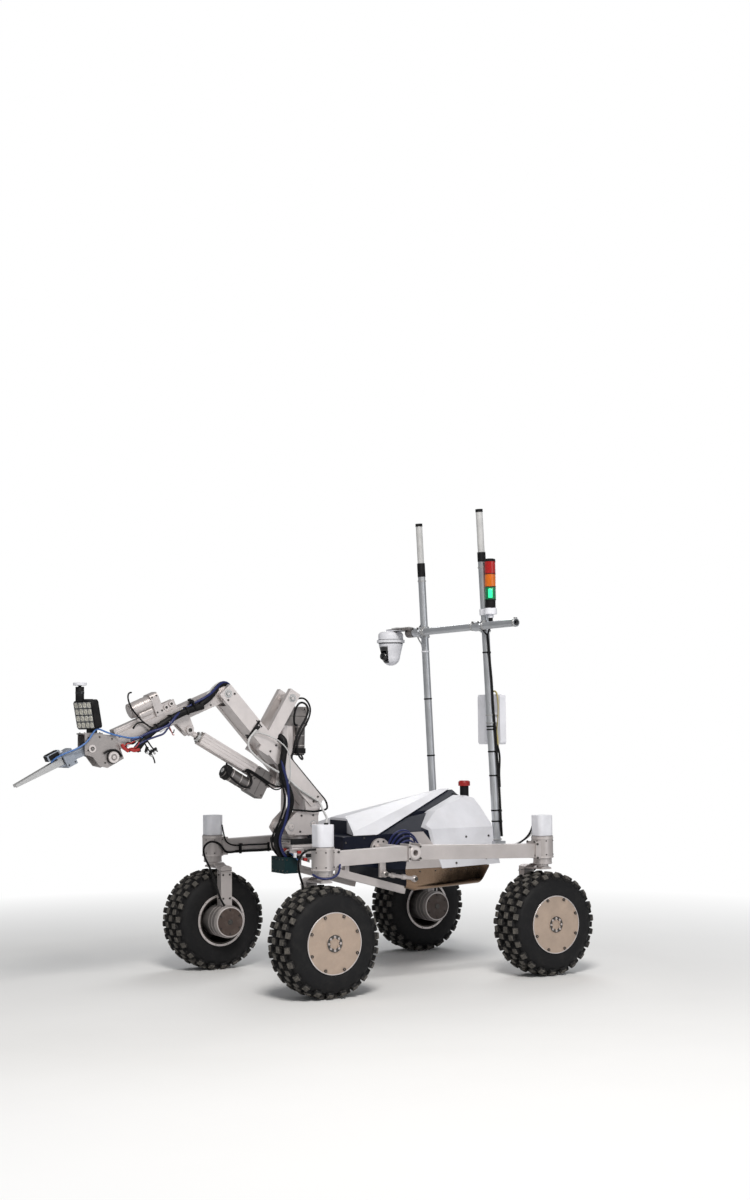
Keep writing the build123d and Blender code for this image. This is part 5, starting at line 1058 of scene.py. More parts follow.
class ROVER_OT_arm_base(FittingTables, bpy.types.Operator):
    """Add the arm base's screws, wires and the cable bundle up to the arm"""

    bl_idname = "rover.arm_base"
    bl_label = "Arm base"

    # x, height, outer radius of the turntable's pins
    pins, plate_y = ((342, 489, 13.0), (262, 495, 12.0)), 54.8
    # x, reach sideways, height
    plate_screws = ((262, plate_y, 523), (250, plate_y, 472), (310, plate_y, 472), (305, plate_y, 523))
    shelf_top_screws = ((226, 68, 432), (250, 68, 432))
    shelf_side_screws = ((222, 66, 412), (222, 66, 384), (300, 66, 413))
    box_front_screws = tuple((362, y, z) for y in (-34, -12, 12, 34) for z in (384, 348))
    box_side_screws = tuple((x, 45.8, z) for x in (318, 354) for z in (384, 348))
    bearing_x, bearing_z, bearing_radius, bearing_screws = 302, 438, 44.4, 10
    # height, inner radius, outer radius, width, finish
    bearing_rings = ((433, 41.8, 47.0, 5.0, 0), (446, 41.8, 43.4, 3.0, 1))
    # radius, height, finish
    pin_screw, plate_screw, bearing_screw = (7.8, 6.0, 0), (3.4, 2.6, 1), (1.9, 2.2, 1)
    shelf_top_screw, shelf_side_screw, box_screw = (3.2, 3.0, 1), (3.2, 2.6, 1), (2.6, 2.0, 1)
    # block, place, size, tilt, edge, finish: plates on both sides, then the connectors
    parts = (
        *((block, (310, side * 69.5, 442), (84, 8, 17), 0, 2.0, 3) for side in (1, -1)),
        *((block, (330, side * 70, 420), (42, 10, 5), 0, 0.8, 0) for side in (1, -1)),
        (block, (322, 69, 408), (13, 8, 9), 0, 1.4, 5),
        (block, (306, 69, 401), (10, 8, 13), 0, 1.4, 4),
        (block, (337, 69, 399), (9, 8, 15), 0, 1.4, 4),
        (block, (288, 69, 396), (16, 9, 11), 0, 1.4, 3),
        (block, (324, 69, 392), (10, 8, 8), 0, 1.4, 3),
        (block, (300, 69, 384), (12, 8, 9), 0, 1.4, 5),
        (block, (340, 20, 398), (30, 34, 8), 0, 1.5, 3),
        (block, (336, -22, 397), (22, 26, 7), 0, 1.5, 4),
    )

    def execute(self, context):
        self.turntable()
        self.shelf()
        return super().execute(context)

    def turntable(self):
        """Pins and screws of the turntable's side plates."""
        grid = bmesh.new()
        for side in (1, -1):
            out = (0, side, 0)
            for x, z, radius in self.pins:
                ring(grid, (x, side * self.plate_y, z), out, 7.6, radius, 1.8, 2)
                screw(grid, (x, side * (self.plate_y + 0.2), z), out, *self.pin_screw)
            screws(grid, on_side(self.plate_screws, side), out, *self.plate_screw)
        piece("turntable_screws", grid, "turntable", ("bright_alloy", "dark_screw", "ground_steel"))

    def shelf(self):
        """The bearing's rings, and the screws and connectors on the shelf and the box below it."""
        grid = bmesh.new()
        for z, *sizes in self.bearing_rings:
            ring(grid, (self.bearing_x, 0, z), UP, *sizes)
        spots = [(self.bearing_x + self.bearing_radius * cos(turn), self.bearing_radius * sin(turn),
                  self.bearing_z)
                 for turn in turns(self.bearing_screws)]
        screws(grid, spots, UP, *self.bearing_screw)
        for side in (1, -1):
            screws(grid, on_side(self.shelf_top_screws, side), UP, *self.shelf_top_screw)
            screws(grid, on_side(self.shelf_side_screws, side), (0, side, 0), *self.shelf_side_screw)
        for add, *values in self.parts:
            add(grid, *values)
        screws(grid, self.box_front_screws, AHEAD, *self.box_screw)
        screws(grid, self.box_side_screws, LEFT, *self.box_screw)
        finishes = ("bright_alloy", "dark_screw", "satin_alloy", "black_mould", "white_cap", "red_mould")
        piece("base_fittings", grid, "chassis", finishes)

    # finish, radius, points
    wires = (
        ("red_mould", 1.7,
         ((352, 12, 400), (358, 22, 408), (350, 36, 416), (332, 46, 414), (316, 50, 404), (306, 47, 392))),
        ("red_mould", 1.7,
         ((352, 4, 400), (362, 10, 412), (356, 30, 419), (338, 50, 412), (322, 54, 398), (314, 47, 386))),
        ("white_cable", 1.7,
         ((350, 26, 402), (356, 38, 412), (344, 52, 418), (326, 56, 410), (312, 52, 398))),
        ("white_cable", 1.7,
         ((342, -20, 400), (356, -12, 412), (362, 6, 416), (352, 30, 410), (346, 34, 400))),
        ("sky_cable", 1.9,
         ((334, 32, 402), (346, 44, 410), (340, 56, 402), (324, 58, 388), (312, 52, 372), (309, 44, 362))),
        ("black_cable", 2.4,
         ((330, -30, 400), (322, -44, 410), (300, -56, 404), (270, -62, 396), (232, -60, 400),
          (213, -52, 408))),
        ("black_cable", 2.8,
         ((328, 22, 402), (310, 36, 408), (284, 50, 400), (256, 54, 392), (230, 52, 396), (213, 46, 402))),
        ("black_cable", 2.8,
         ((320, 30, 400), (300, 46, 400), (272, 56, 388), (246, 56, 382), (226, 50, 386), (213, 40, 392))),
    )
    cables = tuple((f"base_wire_{index}", title, radius, "chassis", points)
                   for index, (title, radius, points) in enumerate(wires))
    bends = (
        ("arm_sheath_upper", "black_cable", 10.5, ("upper_arm", "turntable"), (366, 60, 634),
         (344, 52, 545),
         ((408, 4, 742), (394, 14, 770), (378, 38, 782), (368, 58, 766), (367, 61, 742), (374, 61, 706),
          (377, 60, 670), (366, 60, 634), (351, 60, 602), (343, 58, 572), (345, 52, 545), (354, 44, 518))),
        ("arm_sheath_lower", "black_cable", 10.5, ("turntable", "chassis"), (362, 36, 495), (352, 20, 404),
         ((354, 44, 518), (363, 36, 491), (374, 26, 470), (378, 20, 444), (369, 16, 416), (354, 14, 396),
          (346, 14, 391))),
        ("arm_cable_blue_upper", "blue_cable", 4.4, ("upper_arm", "turntable"), (364, 66, 634),
         (354, 58, 548),
         ((380, 64, 700), (378, 70, 676), (369, 71, 650), (361, 71, 622), (358, 68, 584), (355, 62, 550),
          (359, 56, 522))),
        ("arm_cable_blue_lower", "blue_cable", 4.4, ("turntable", "chassis"), (366, 50, 495),
         (354, 40, 404),
         ((359, 56, 522), (363, 50, 494), (374, 44, 468), (376, 38, 440), (366, 36, 410), (350, 34, 391))),
        ("arm_cable_black_upper", "black_cable", 3.4, ("upper_arm", "turntable"), (370, 56, 634),
         (362, 42, 545),
         ((384, 54, 690), (386, 58, 662), (378, 56, 634), (366, 52, 602), (360, 48, 574), (362, 42, 548),
          (368, 36, 522))),
        ("arm_cable_black_lower", "black_cable", 3.4, ("turntable", "chassis"), (374, 22, 495),
         (362, 8, 404),
         ((368, 36, 522), (374, 30, 498), (386, 16, 470), (391, 8, 440), (378, 2, 410), (356, 0, 391))),
        ("cap_hose", "white_cable", 3.6, ("turntable", "chassis"), (250, 90, 562), (330, 260, 532),
         ((240, 54, 566), (250, 80, 562), (275, 140, 546), (310, 220, 532), (350, 300, 526),
          (382, 356, 522), (394, 372, 520), (398, 379, 511))),
    )
    fittings = (
        # ring, place, axis, inner radius, outer radius, width
        ("bundle_ties", "turntable", "black_plastic", ("black_mould",), (
            (ring, (358, 40, 507), (0.5, -0.4, -0.8), 10.4, 12.2, 5.0),
        )),
        ("hose_gland", "chassis", "white_plastic", ("black_mould", "white_cap"), (
            (ring, (398, 379, 511.8), UP, 3.0, 7.0, 5.0),
        )),
    )


class ROVER_OT_boom(FittingTables, bpy.types.Operator):
    """Add the boom's pins, tie, hoses and loops"""

    bl_idname = "rover.boom"
    bl_label = "Boom"

    lean, plate_y = 47.9, 47.8
    # x, height, reach sideways, outer radius
    pins = ((560, 913.5, plate_y, 13.0), (331, 899.5, plate_y, 13.0), (374, 626, 32.8, 12.0))
    # along the boom, above its middle
    plate_screws = ((24, 14), (24, -8), (250, 14), (250, -14), (470, 15), (470, -15))
    web_far, web_lift, web_size = 328, -22, (250, 53.6, 3.0)
    # radius, height, finish
    pin_screw, plate_screw = (8.2, 7.0, 1), (3.4, 2.4, 2)

    def execute(self, context):
        grid = bmesh.new()
        for side in (1, -1):
            out = (0, side, 0)
            for x, z, y, radius in self.pins:
                ring(grid, (x, side * y, z), out, 7.8, radius, 1.6, 1)
                screw(grid, (x, side * (y + 0.2), z), out, *self.pin_screw)
            spots = [BOOM.on(far, lift, side * self.plate_y) for far, lift in self.plate_screws]
            screws(grid, spots, out, *self.plate_screw)
        block(grid, BOOM.on(self.web_far, self.web_lift), self.web_size, self.lean, 0.6)
        piece("boom_screws", grid, "upper_arm", ("bright_alloy", "ground_steel", "dark_screw"))
        return super().execute(context)

    fittings = (
        # block, place, size, tilt, edge
        ("boom_tie", "upper_arm", "black_plastic", ("black_mould",), (
            (block, (469, 49.4, 804), (7, 3.4, 60), 38, 1.2),
            (block, (473, 49.4, 791), (7, 3.4, 60), 52, 1.2),
            (block, (452, 40, 818), (30, 20, 3.4), lean, 1.2),
            (block, (489, 40, 779), (12, 20, 3.4), lean, 1.2),
            (block, (462, 53.0, 806), (15, 6, 12), lean, 1.4),
            (block, (480, 53.0, 786), (8, 5, 9), lean, 1.2),
        )),
    )
    cables = (
        ("boom_lead_loop", "black_cable", 3.4, "upper_arm",
         ((300, 21, 812), (316, 34, 812), (324, 43, 830), (320, 44, 862), (304, 44, 886), (282, 44, 884),
          (268, 43, 862), (278, 42, 836), (298, 41, 806), (314, 41, 776), (322, 41, 748), (325, 41, 726),
          (333, 40, 712))),
        ("boom_lead_edge", "black_cable", 3.2, "upper_arm",
         ((322, 43, 748), (325, 42, 728), (334, 40, 706), (314, 40, 684), (294, 40, 662), (274, 40, 640),
          (253, 40, 617), (232, 40, 594), (212, 40, 574), (205, 44, 560), (207, 50, 550))),
        ("boom_lead_motor", "black_cable", 3.0, "upper_arm",
         ((286, 14, 722), (280, 24, 706), (290, 34, 700), (306, 38, 716), (312, 38, 744), (300, 36, 776),
          (284, 34, 800), (262, 34, 836), (256, 34, 868), (270, 33, 894), (290, 32, 902), (308, 31, 896))),
        ("boom_hose", "white_cable", 3.6, "upper_arm",
         ((462, 52, 800), (478, 56, 786), (492, 57, 772), (497, 57, 752), (486, 57, 730), (455, 56, 703),
          (410, 56, 675), (362, 56, 651), (338, 57, 628), (310, 56, 606), (266, 54, 580), (240, 54, 566))),
        ("boom_lead_white", "white_cable", 2.0, "upper_arm",
         ((476, 52, 788), (466, 57, 790), (446, 60, 787), (411, 62, 775), (384, 68, 758), (364, 74, 736),
          (356, 74, 712), (354, 74, 677), (354, 73, 646), (360, 71, 622))),
        ("boom_lead_top", "blue_cable", 4.2, "upper_arm",
         ((520, -4, 893), (500, -8, 870), (470, -10, 838), (440, -8, 804), (416, 0, 772), (406, 4, 748))),
    )
    bends = (
        ("boom_lead_low", "black_cable", 3.2, ("upper_arm", "turntable"), (215, 60, 540), (300, 63, 538),
         ((207, 50, 550), (209, 56, 541), (232, 62, 538), (262, 63, 534), (294, 63, 538), (320, 60, 541),
          (341, 54, 543))),
        ("elbow_cable_blue", "blue_cable", 4.2, ("forearm", "upper_arm"), (590, 24, 915), (540, 10, 940),
         ((672, 34, 884), (640, 36, 898), (612, 32, 914), (588, 22, 934), (566, 14, 950), (544, 6, 950),
          (526, 2, 934), (520, -2, 912), (518, -4, 890))),
        ("elbow_cable_white", "white_cable", 3.0, ("forearm", "upper_arm"), (590, 10, 915), (540, 0, 940),
         ((700, 24, 868), (672, 22, 880), (640, 20, 896), (612, 14, 918), (588, 6, 940), (562, -2, 952),
          (540, -8, 948), (524, -10, 928), (516, -10, 900))),
        ("elbow_sheath", "black_cable", 9.0, ("forearm", "upper_arm"), (596, 30, 900), (556, 40, 938),
         ((652, 36, 878), (632, 36, 890), (606, 26, 910), (580, 14, 934), (558, 6, 948), (538, 0, 940),
          (526, -2, 920), (520, -2, 898))),
    )


class ROVER_OT_actuators(FittingTables, bpy.types.Operator):
    """Add ribs, rings, end caps and leads to the two linear actuators"""

    bl_idname = "rover.actuators"
    bl_label = "Linear actuators"

    # body, line from its foot, barrel's length
    rows = (("shoulder_barrel", SHOULDER_ACTUATOR, 190.0), ("elbow_barrel", ELBOW_ACTUATOR, 276.0))
    gearbox_start, gearbox_long, gearbox_y = 26, 62, 20.8
    rib_places, barrel_side = (-15.0, -5.2, 5.2, 15.0), 19.2
    # beyond the barrel's end, inner radius, outer radius, width, finish
    end_rings = ((0, 9.4, 21.0, 3.0, 1), (3, 9.4, 15.6, 11.0, 2), (14, 9.3, 12.0, 2.0, 3))
    # above the axis, sideways
    end_screws = ((-14.0, -14.0), (-14.0, 14.0), (14.0, -14.0), (14.0, 14.0))
    # along the axis, above it
    gearbox_screws = tuple((far, lift) for far in (34.0, 80.0) for lift in (-60.0, -24.0, 12.0))
    motor_lift = -50
    # along the axis, inner radius, outer radius, width, finish: round the motor
    motor_rings = ((90.0, 20.6, 22.2, 3.0, 1), (118.0, 20.6, 21.7, 3.0, 1), (150.0, 20.6, 21.7, 3.0, 1),
                   (160, 20.4, 24.5, 17.0, 4), (179.6, 8.0, 20.0, 3.0, 4), (179.6, 0.6, 8.0, 5.0, 2))

    # radius, height, finish
    end_screw, gearbox_screw = (2.4, 2.0, 3), (2.6, 2.2, 3)
    # along the axis, above it, size of the seam round the gearbox
    seam_far, seam_lift, seam_size = 57, -26, (2.0, 42.8, 86)
    rib_wide, rib_proud, end_cap = 3.2, 1.8, 3

    def execute(self, context):
        for body, line, long in self.rows:
            self.dress(body, line, long)
        return super().execute(context)

    def dress(self, body, line, long):
        """Ribs along the barrel, gland, gearbox screws and the motor's rings."""
        grid = bmesh.new()
        end, run = self.gearbox_start + long, long - self.gearbox_long
        middle = end - run / 2
        for lift in self.rib_places:
            for side in (self.barrel_side, -self.barrel_side):
                block(grid, line.on(middle, lift, side), (run, self.rib_proud, self.rib_wide), line.tilt)
                block(grid, line.on(middle, side, lift), (run, self.rib_wide, self.rib_proud), line.tilt)
        for beyond, inner, outer, width, index in self.end_rings:
            ring(grid, line.on(end + beyond, 0), line.axis, inner, outer, width, index)
        spots = [line.on(end + self.end_cap, lift, y) for lift, y in self.end_screws]
        screws(grid, spots, line.axis, *self.end_screw)
        for side in (1, -1):
            spots = [line.on(far, lift, side * self.gearbox_y) for far, lift in self.gearbox_screws]
            screws(grid, spots, (0, side, 0), *self.gearbox_screw)
        block(grid, line.on(self.seam_far, self.seam_lift), self.seam_size, line.tilt, 0.4, 3)
        for far, inner, outer, width, index in self.motor_rings:
            ring(grid, line.on(far, self.motor_lift), line.axis, inner, outer, width, index)
        finishes = ("bright_alloy", "turned_alloy", "ground_steel", "dark_screw", "black_mould")
        piece(f"{body}_fittings", grid, body, finishes)

    bends = (
        ("elbow_motor_lead", "black_cable", 3.3, ("elbow_barrel", "upper_arm"), (420, 24, 637),
         (372, 32, 622),
         ((548, 10, 694), (556, 22, 686), (552, 27, 660), (532, 28, 640), (509, 28, 624), (483, 27, 614),
          (466, 26, 630), (472, 25, 656), (490, 25, 672), (480, 25, 674), (452, 24.5, 658), (422, 25, 640),
          (396, 28, 622), (376, 34, 616), (362, 44, 624), (360, 54, 638))),
        ("elbow_motor_lead_second", "black_cable", 2.2, ("elbow_barrel", "upper_arm"), (420, 24, 637),
         (376, 32, 622),
         ((498, 22, 668), (478, 25, 668), (448, 25, 650), (420, 25.5, 632), (398, 28, 612), (384, 34, 606),
          (370, 44, 612), (364, 54, 628))),
    )


class ROVER_OT_forearm(FittingTables, bpy.types.Operator):
    """Add the forearm's cables, connectors and the wrist actuator's caps and screws"""

    bl_idname = "rover.forearm"
    bl_label = "Forearm"

    # along the forearm, above its middle, inner radius, outer radius, width, finish: round the two motors
    motor_rings = ((243, 68, 23.0, 25.0, 3.4, 1), (262, 68, 22.5, 24.5, 3.4, 1),
                   (300, 68, 22.8, 24.8, 3.4, 1),
                   (243, 43, 17.8, 19.8, 3.4, 1), (282, 43, 17.7, 19.7, 3.4, 1), (312, 68, 0.6, 19.0, 2.0,
                                                                                  0),
                   (292, 43, 0.6, 14.0, 2.0, 0))
    # along the forearm, above its middle
    motor_plate_screws, motor_plate_y = ((221, 34), (221, 84), (237, 84), (237, 34)), 25.8
    clevis_pins, clevis_y = ((180, 40), (200, 36)), 16.8
    end_screws, end_y = ((60, -14), (60, 14), (380, -14), (380, 14)), 23.8
    # along the forearm, above its middle, sideways, size of the ribs on its clevis
    rib_far, rib_lifts, rib_y, rib_size = 350, (30, 36), 17.2, (66, 1.6, 3.0)
    # radius, height, finish
    motor_screw, clevis_screw = (2.8, 2.2, 2), (4.4, 3.0, 2)
    end_screw, pin_screw = (3.0, 2.2, 2), (6.0, 5.0, 2)
    # inner radius, outer radius, width, finish
    clevis_ring, pin_ring = (3.4, 8.4, 1.6, 0), (6.0, 12.5, 2.0, 1)
    # x, reach sideways, height of the pin that the elbow actuator's rod holds
    rod_pin = (681, 22.6, 800)

    def execute(self, context):
        grid = bmesh.new()
        for far, lift, inner, outer, width, index in self.motor_rings:
            ring(grid, FOREARM.on(far, lift), FOREARM.axis, inner, outer, width, index)
        for side in (1, -1):
            self.side_fittings(grid, side)
        piece("wrist_actuator_fittings", grid, "forearm", ("bright_alloy", "turned_alloy", "dark_screw"))
        return super().execute(context)

    def side_fittings(self, grid, side):
        """Screws, pins and ribs on one side of the forearm."""
        out = (0, side, 0)
        spots = [FOREARM.on(far, lift, side * self.motor_plate_y) for far, lift in self.motor_plate_screws]
        screws(grid, spots, out, *self.motor_screw)
        for far, lift in self.clevis_pins:
            ring(grid, FOREARM.on(far, lift, side * self.clevis_y), out, *self.clevis_ring)
            screw(grid, FOREARM.on(far, lift, side * (self.clevis_y + 0.2)), out, *self.clevis_screw)
        spots = [FOREARM.on(far, lift, side * self.end_y) for far, lift in self.end_screws]
        screws(grid, spots, out, *self.end_screw)
        x, y, z = self.rod_pin
        ring(grid, (x, side * y, z), out, *self.pin_ring)
        screw(grid, (x, side * (y + 0.4), z), out, *self.pin_screw)
        for lift in self.rib_lifts:
            block(grid, FOREARM.on(self.rib_far, lift, side * self.rib_y), self.rib_size, FOREARM.tilt)

    fittings = (
        # block, place, size, tilt, edge, finish
        ("forearm_connectors", "forearm", "red", ("red_mould", "black_mould", "white_cap"), (
            *((block, (x, 44, z), (17, 8, 9), tip, 1.0, 0)
              for x, z, tip in ((914, 752, 60), (903, 742, 35), (884, 741, 20), (869, 741, -10))),
            *((block, (x, 44, z), (8, 6, 6), tip, 1.0, 1)
              for x, z, tip in ((905, 749, 60), (894, 739, 35), (875, 738, 20), (860, 738, -10))),
            (block, (898, 41, 757), (10, 8, 9), 30, 1.0, 2),
        )),
        ("forearm_ties", "forearm", "black_plastic", ("black_mould", "ground_steel"), (
            *((block, place, (18, 7, 8), tip, 1.2, 0)
              for place, tip in (((824, 47, 733), 118), ((812, 45, 741), 150), ((838, 46, 742), 105))),
            *((block, place, (5, 7.6, 8.6), tip, 0.8, 1)
              for place, tip in (((823, 47, 723), 118), ((811, 45, 731), 150), ((837, 46, 732), 105))),
            *((block, FOREARM.on(far, lift, 36), (5, 27, 26), FOREARM.tilt, 4.0)
              for far, lift in ((150, 3), (208, 1), (262, -7), (312, -22))),
            (block, FOREARM.on(122, 12, 36), (6, 30, 34), FOREARM.tilt, 4.0),
            (block, FOREARM.on(126, 30, 34), (10, 8, 8), FOREARM.tilt, 1.4),
        )),
    )
    cables = (
        ("forearm_cable_blue", "blue_cable", 4.2, "forearm",
         ((672, 34, 884), (694, 33, 871), (714, 38, 860), (738, 46, 846), (754, 52, 828), (772, 53, 812),
          (800, 50, 802), (820, 46, 797), (846, 46, 786), (868, 44, 776), (888, 42, 770))),
        ("forearm_cable_white", "white_cable", 3.0, "forearm",
         ((700, 24, 868), (722, 27.5, 858), (740, 31, 848), (752, 40, 834), (762, 50, 822), (776, 54, 806),
          (796, 52, 796))),
        ("forearm_cable_low", "blue_cable", 3.0, "forearm",
         ((758, 51, 824), (772, 52, 802), (784, 50, 788), (798, 48, 784), (816, 47, 778), (836, 47, 772),
          (856, 46, 762), (874, 45, 752))),
        ("forearm_lead_front", "black_cable", 2.8, "forearm",
         ((872, 42, 766), (882, 44, 759), (891, 46, 762), (900, 46, 765), (906, 45, 758), (904, 44, 747),
          (895, 44, 740))),
        ("forearm_tail_first", "black_cable", 2.2, "forearm",
         ((848, 47, 768), (842, 48, 756), (834, 47, 744), (826, 47, 734), (818, 46, 722), (812, 46, 710),
          (810, 46, 700))),
        ("forearm_tail_second", "black_cable", 2.2, "forearm",
         ((836, 47, 770), (828, 48, 758), (820, 46, 748), (810, 45, 740), (800, 44, 736))),
        ("forearm_wire_first", "black_cable", 1.6, "forearm",
         ((766, 45, 812), (760, 48, 800), (752, 46, 792), (745, 42, 792), (742, 38, 802))),
        ("forearm_wire_second", "red_mould", 1.4, "forearm",
         ((762, 46, 812), (758, 49, 802), (754, 49, 790), (749, 46, 784), (744, 42, 786))),
        ("wrist_motor_lead", "black_cable", 2.6, "forearm",
         ((870, 4, 917), (880, 10, 917), (889, 20, 905), (888, 27, 886), (878, 31, 864), (860, 33, 842),
          (842, 36, 824), (826, 40, 812), (812, 43, 806))),
        ("wrist_motor_lead_second", "black_cable", 2.6, "forearm",
         ((872, 22, 806), (872, 28, 812), (862, 32, 824), (846, 34, 826), (832, 37, 818), (822, 41, 808))),
        ("forearm_branch_red", "red_mould", 1.9, "forearm",
         ((862, 46, 764), (868, 49, 754), (878, 48, 746), (890, 48, 748), (900, 48, 744))),
        ("forearm_branch_second", "red_mould", 1.9, "forearm",
         ((878, 47, 768), (888, 50, 762), (900, 49, 762), (908, 48, 756), (914, 47, 750))),
    )


class ROVER_OT_wrist(FittingTables, bpy.types.Operator):
    """Add the wrist's screws and belt, the lamp's reflectors and the gripper's fittings"""

    bl_idname = "rover.wrist"
    bl_label = "Wrist, lamp and gripper"

    lamp_tilt, lamp_yaw, lamp_place = 11.0, 12.0, (1021.0, 0.0, 848.0)
    cells, cell_across, cell_up = 4, 23.0, 20.5
    # place in the lamp's own turn, size
    lamp_frame = (((0.6, -46.5, 0), (2.6, 3.0, 76)), ((0.6, 46.5, 0), (2.6, 3.0, 76)),
                  ((0.6, 0, -41.5), (2.6, 84, 3.0)), ((0.6, 0, 41.5), (2.6, 84, 3.0)))
    fins, fin_pitch = 9, 9.5
    camera_x = 1036
    # height, inner radius, outer radius, width, finish: round the small camera
    camera_rings = ((938.0, 18.4, 20.6, 8.6, 3), (945.6, 0.6, 19.0, 1.6, 3), (912.0, 12.6, 13.6, 8.0, 4))
    # x, reach sideways, height
    plate_screws = ((944, 29.8, 776), (966, 29.8, 704), (1020, 29.8, 780), (1020, 29.8, 742),
                    (984, 29.8, 782),
                    (926, 29.8, 726))
    top_screws = ((980, -20, 794), (980, 20, 794), (1028, -20, 794), (1028, 20, 794))
    pitch_pin = (1007, 29.8, 747)
    pulley_x, pulley_z = 942, 720
    # reach sideways, inner radius, outer radius, width, finish: round the belt's pulley
    pulley_rings = ((40, 10.0, 17.0, 2.4, 0), (40, 0.6, 6.0, 4.0, 0), (31.5, 17.8, 19.4, 6.4, 2))
    # along the gripper, above its middle
    grip_screws, grip_y = ((-11, -18), (-11, 18), (11, -18), (11, 18)), 23.8
    finger_screw_far, finger_screw_lift, finger_screw_y = 26.0, 15.4, (-8.5, 8.5)
    # along the gripper, above its middle, sideways, size, edge, finish
    drive_blocks = ((38, 26, 15.2, (34, 1.6, 15), 0.7, 2), (38, 26, -15.2, (34, 1.6, 15), 0.7, 2),
                    (40, 36.6, 0, (36, 27, 2.0), 0.7, 2), (60.6, 27, 0, (2.4, 25, 17), 0.7, 2),
                    (10, 25.6, 0, (10, 10, 4), 1.0, 3))

    # radius, height, finish
    plate_screw, top_screw, pin_screw = (2.8, 2.2, 1), (2.6, 2.2, 1), (6.0, 5.0, 1)
    grip_screw, finger_screw = (2.4, 2.0, 1), (3.6, 2.4, 1)
    # inner radius, outer radius, width, finish
    pin_ring, cell_ring = (6.2, 12.0, 2.0, 0), (5.6, 8.2, 1.6, 1)
    cell_size, fin_size, fin_deep = (1.6, 20.4, 18.0), (9.0, 2.2, 66), -27.0

    def execute(self, context):
        self.lamp()
        self.wrist()
        self.gripper()
        return super().execute(context)

    def lamp(self):
        """Reflector cells in front and cooling fins behind, in the lamp's own turn."""
        level = Matrix.Rotation(radians(self.lamp_yaw), 3, "Z")
        turn = level @ Matrix.Rotation(radians(self.lamp_tilt), 3, "Y")
        facing = turn @ Vector(AHEAD)

        def on(deep, across, up):
            return tuple(Vector(self.lamp_place) + turn @ Vector((deep, across, up)))

        def lamp_block(place, size, edge, index):
            block(grid, on(*place), size, -self.lamp_tilt, edge, index, self.lamp_yaw)

        grid = bmesh.new()
        steps = [step - (self.cells - 1) / 2 for step in range(self.cells)]
        spots = [(across * self.cell_across, up * self.cell_up) for up in steps for across in steps]
        for across, up in spots:
            lamp_block((0.8, across, up), self.cell_size, 0.5, 0)
            ring(grid, on(1.4, across, up), facing, *self.cell_ring, 20)
        for place, size in self.lamp_frame:
            lamp_block(place, size, 0.8, 2)
        for fin in range(self.fins):
            lamp_block((self.fin_deep, (fin - self.fins // 2) * self.fin_pitch, 0), self.fin_size, 0.6, 2)
        for z, inner, outer, width, index in self.camera_rings:
            ring(grid, (self.camera_x, 0, z), UP, inner, outer, width, index)
        finishes = ("ground_steel", "led_lens", "black_mould", "white_cap", "smoked_glass")
        piece("lamp_fittings", grid, "wrist_roll", finishes)

    def wrist(self):
        """Screws on the wrist's plates and the belt pulley's rings."""
        grid = bmesh.new()
        x, y, z = self.pitch_pin
        for side in (1, -1):
            out = (0, side, 0)
            screws(grid, on_side(self.plate_screws, side), out, *self.plate_screw)
            ring(grid, (x, side * y, z), out, *self.pin_ring)
            screw(grid, (x, side * (y + 0.2), z), out, *self.pin_screw)
        for y, inner, outer, width, index in self.pulley_rings:
            ring(grid, (self.pulley_x, y, self.pulley_z), LEFT, inner, outer, width, index)
        screws(grid, self.top_screws, UP, *self.top_screw)
        piece("wrist_fittings", grid, "wrist_roll", ("bright_alloy", "dark_screw", "black_mould"))

    def gripper(self):
        """Drive box, screws and finger screws, along the fingers' line."""
        grid = bmesh.new()
        for side in (1, -1):
            spots = [GRIPPER.on(far, lift, side * self.grip_y) for far, lift in self.grip_screws]
            screws(grid, spots, (0, side, 0), *self.grip_screw)
            spots = [GRIPPER.on(self.finger_screw_far, side * self.finger_screw_lift, y)
                     for y in self.finger_screw_y]
            away = (-side * GRIPPER.step[1], 0, side * GRIPPER.step[0])
            screws(grid, spots, away, *self.finger_screw)
        for far, lift, y, size, edge, index in self.drive_blocks:
            block(grid, GRIPPER.on(far, lift, y), size, GRIPPER.tilt, edge, index)
        piece("gripper_fittings", grid, "wrist_pitch",
              ("grip_alloy", "dark_screw", "black_mould", "white_cap"))

    bends = (
        ("wrist_cable_first", "sky_cable", 2.7, ("forearm", "wrist_roll"), (905, 41, 781), (938, 38, 788),
         ((852, 46, 780), (868, 46, 780), (890, 43, 777), (914, 40, 782), (944, 37, 789), (967, 36, 797),
          (976, 36, 801))),
        ("wrist_cable_second", "sky_cable", 2.7, ("wrist_roll", "wrist_pitch"), (1000, 36, 797),
         (1045, 36, 752),
         ((976, 36, 801), (986, 36, 805.5), (998, 36, 806), (1009, 36, 792), (1022, 36, 772),
          (1040, 36, 757), (1064, 34, 745), (1090, 32, 736), (1112, 28, 726), (1126, 20, 716),
          (1130, 12, 708))),
    )
    cables = (
        ("wrist_belt", "black_cable", 3.2, "wrist_roll",
         ((972, 35, 732), (958, 36, 741), (940, 36, 743), (924, 36, 737), (914, 35, 722))),
    )


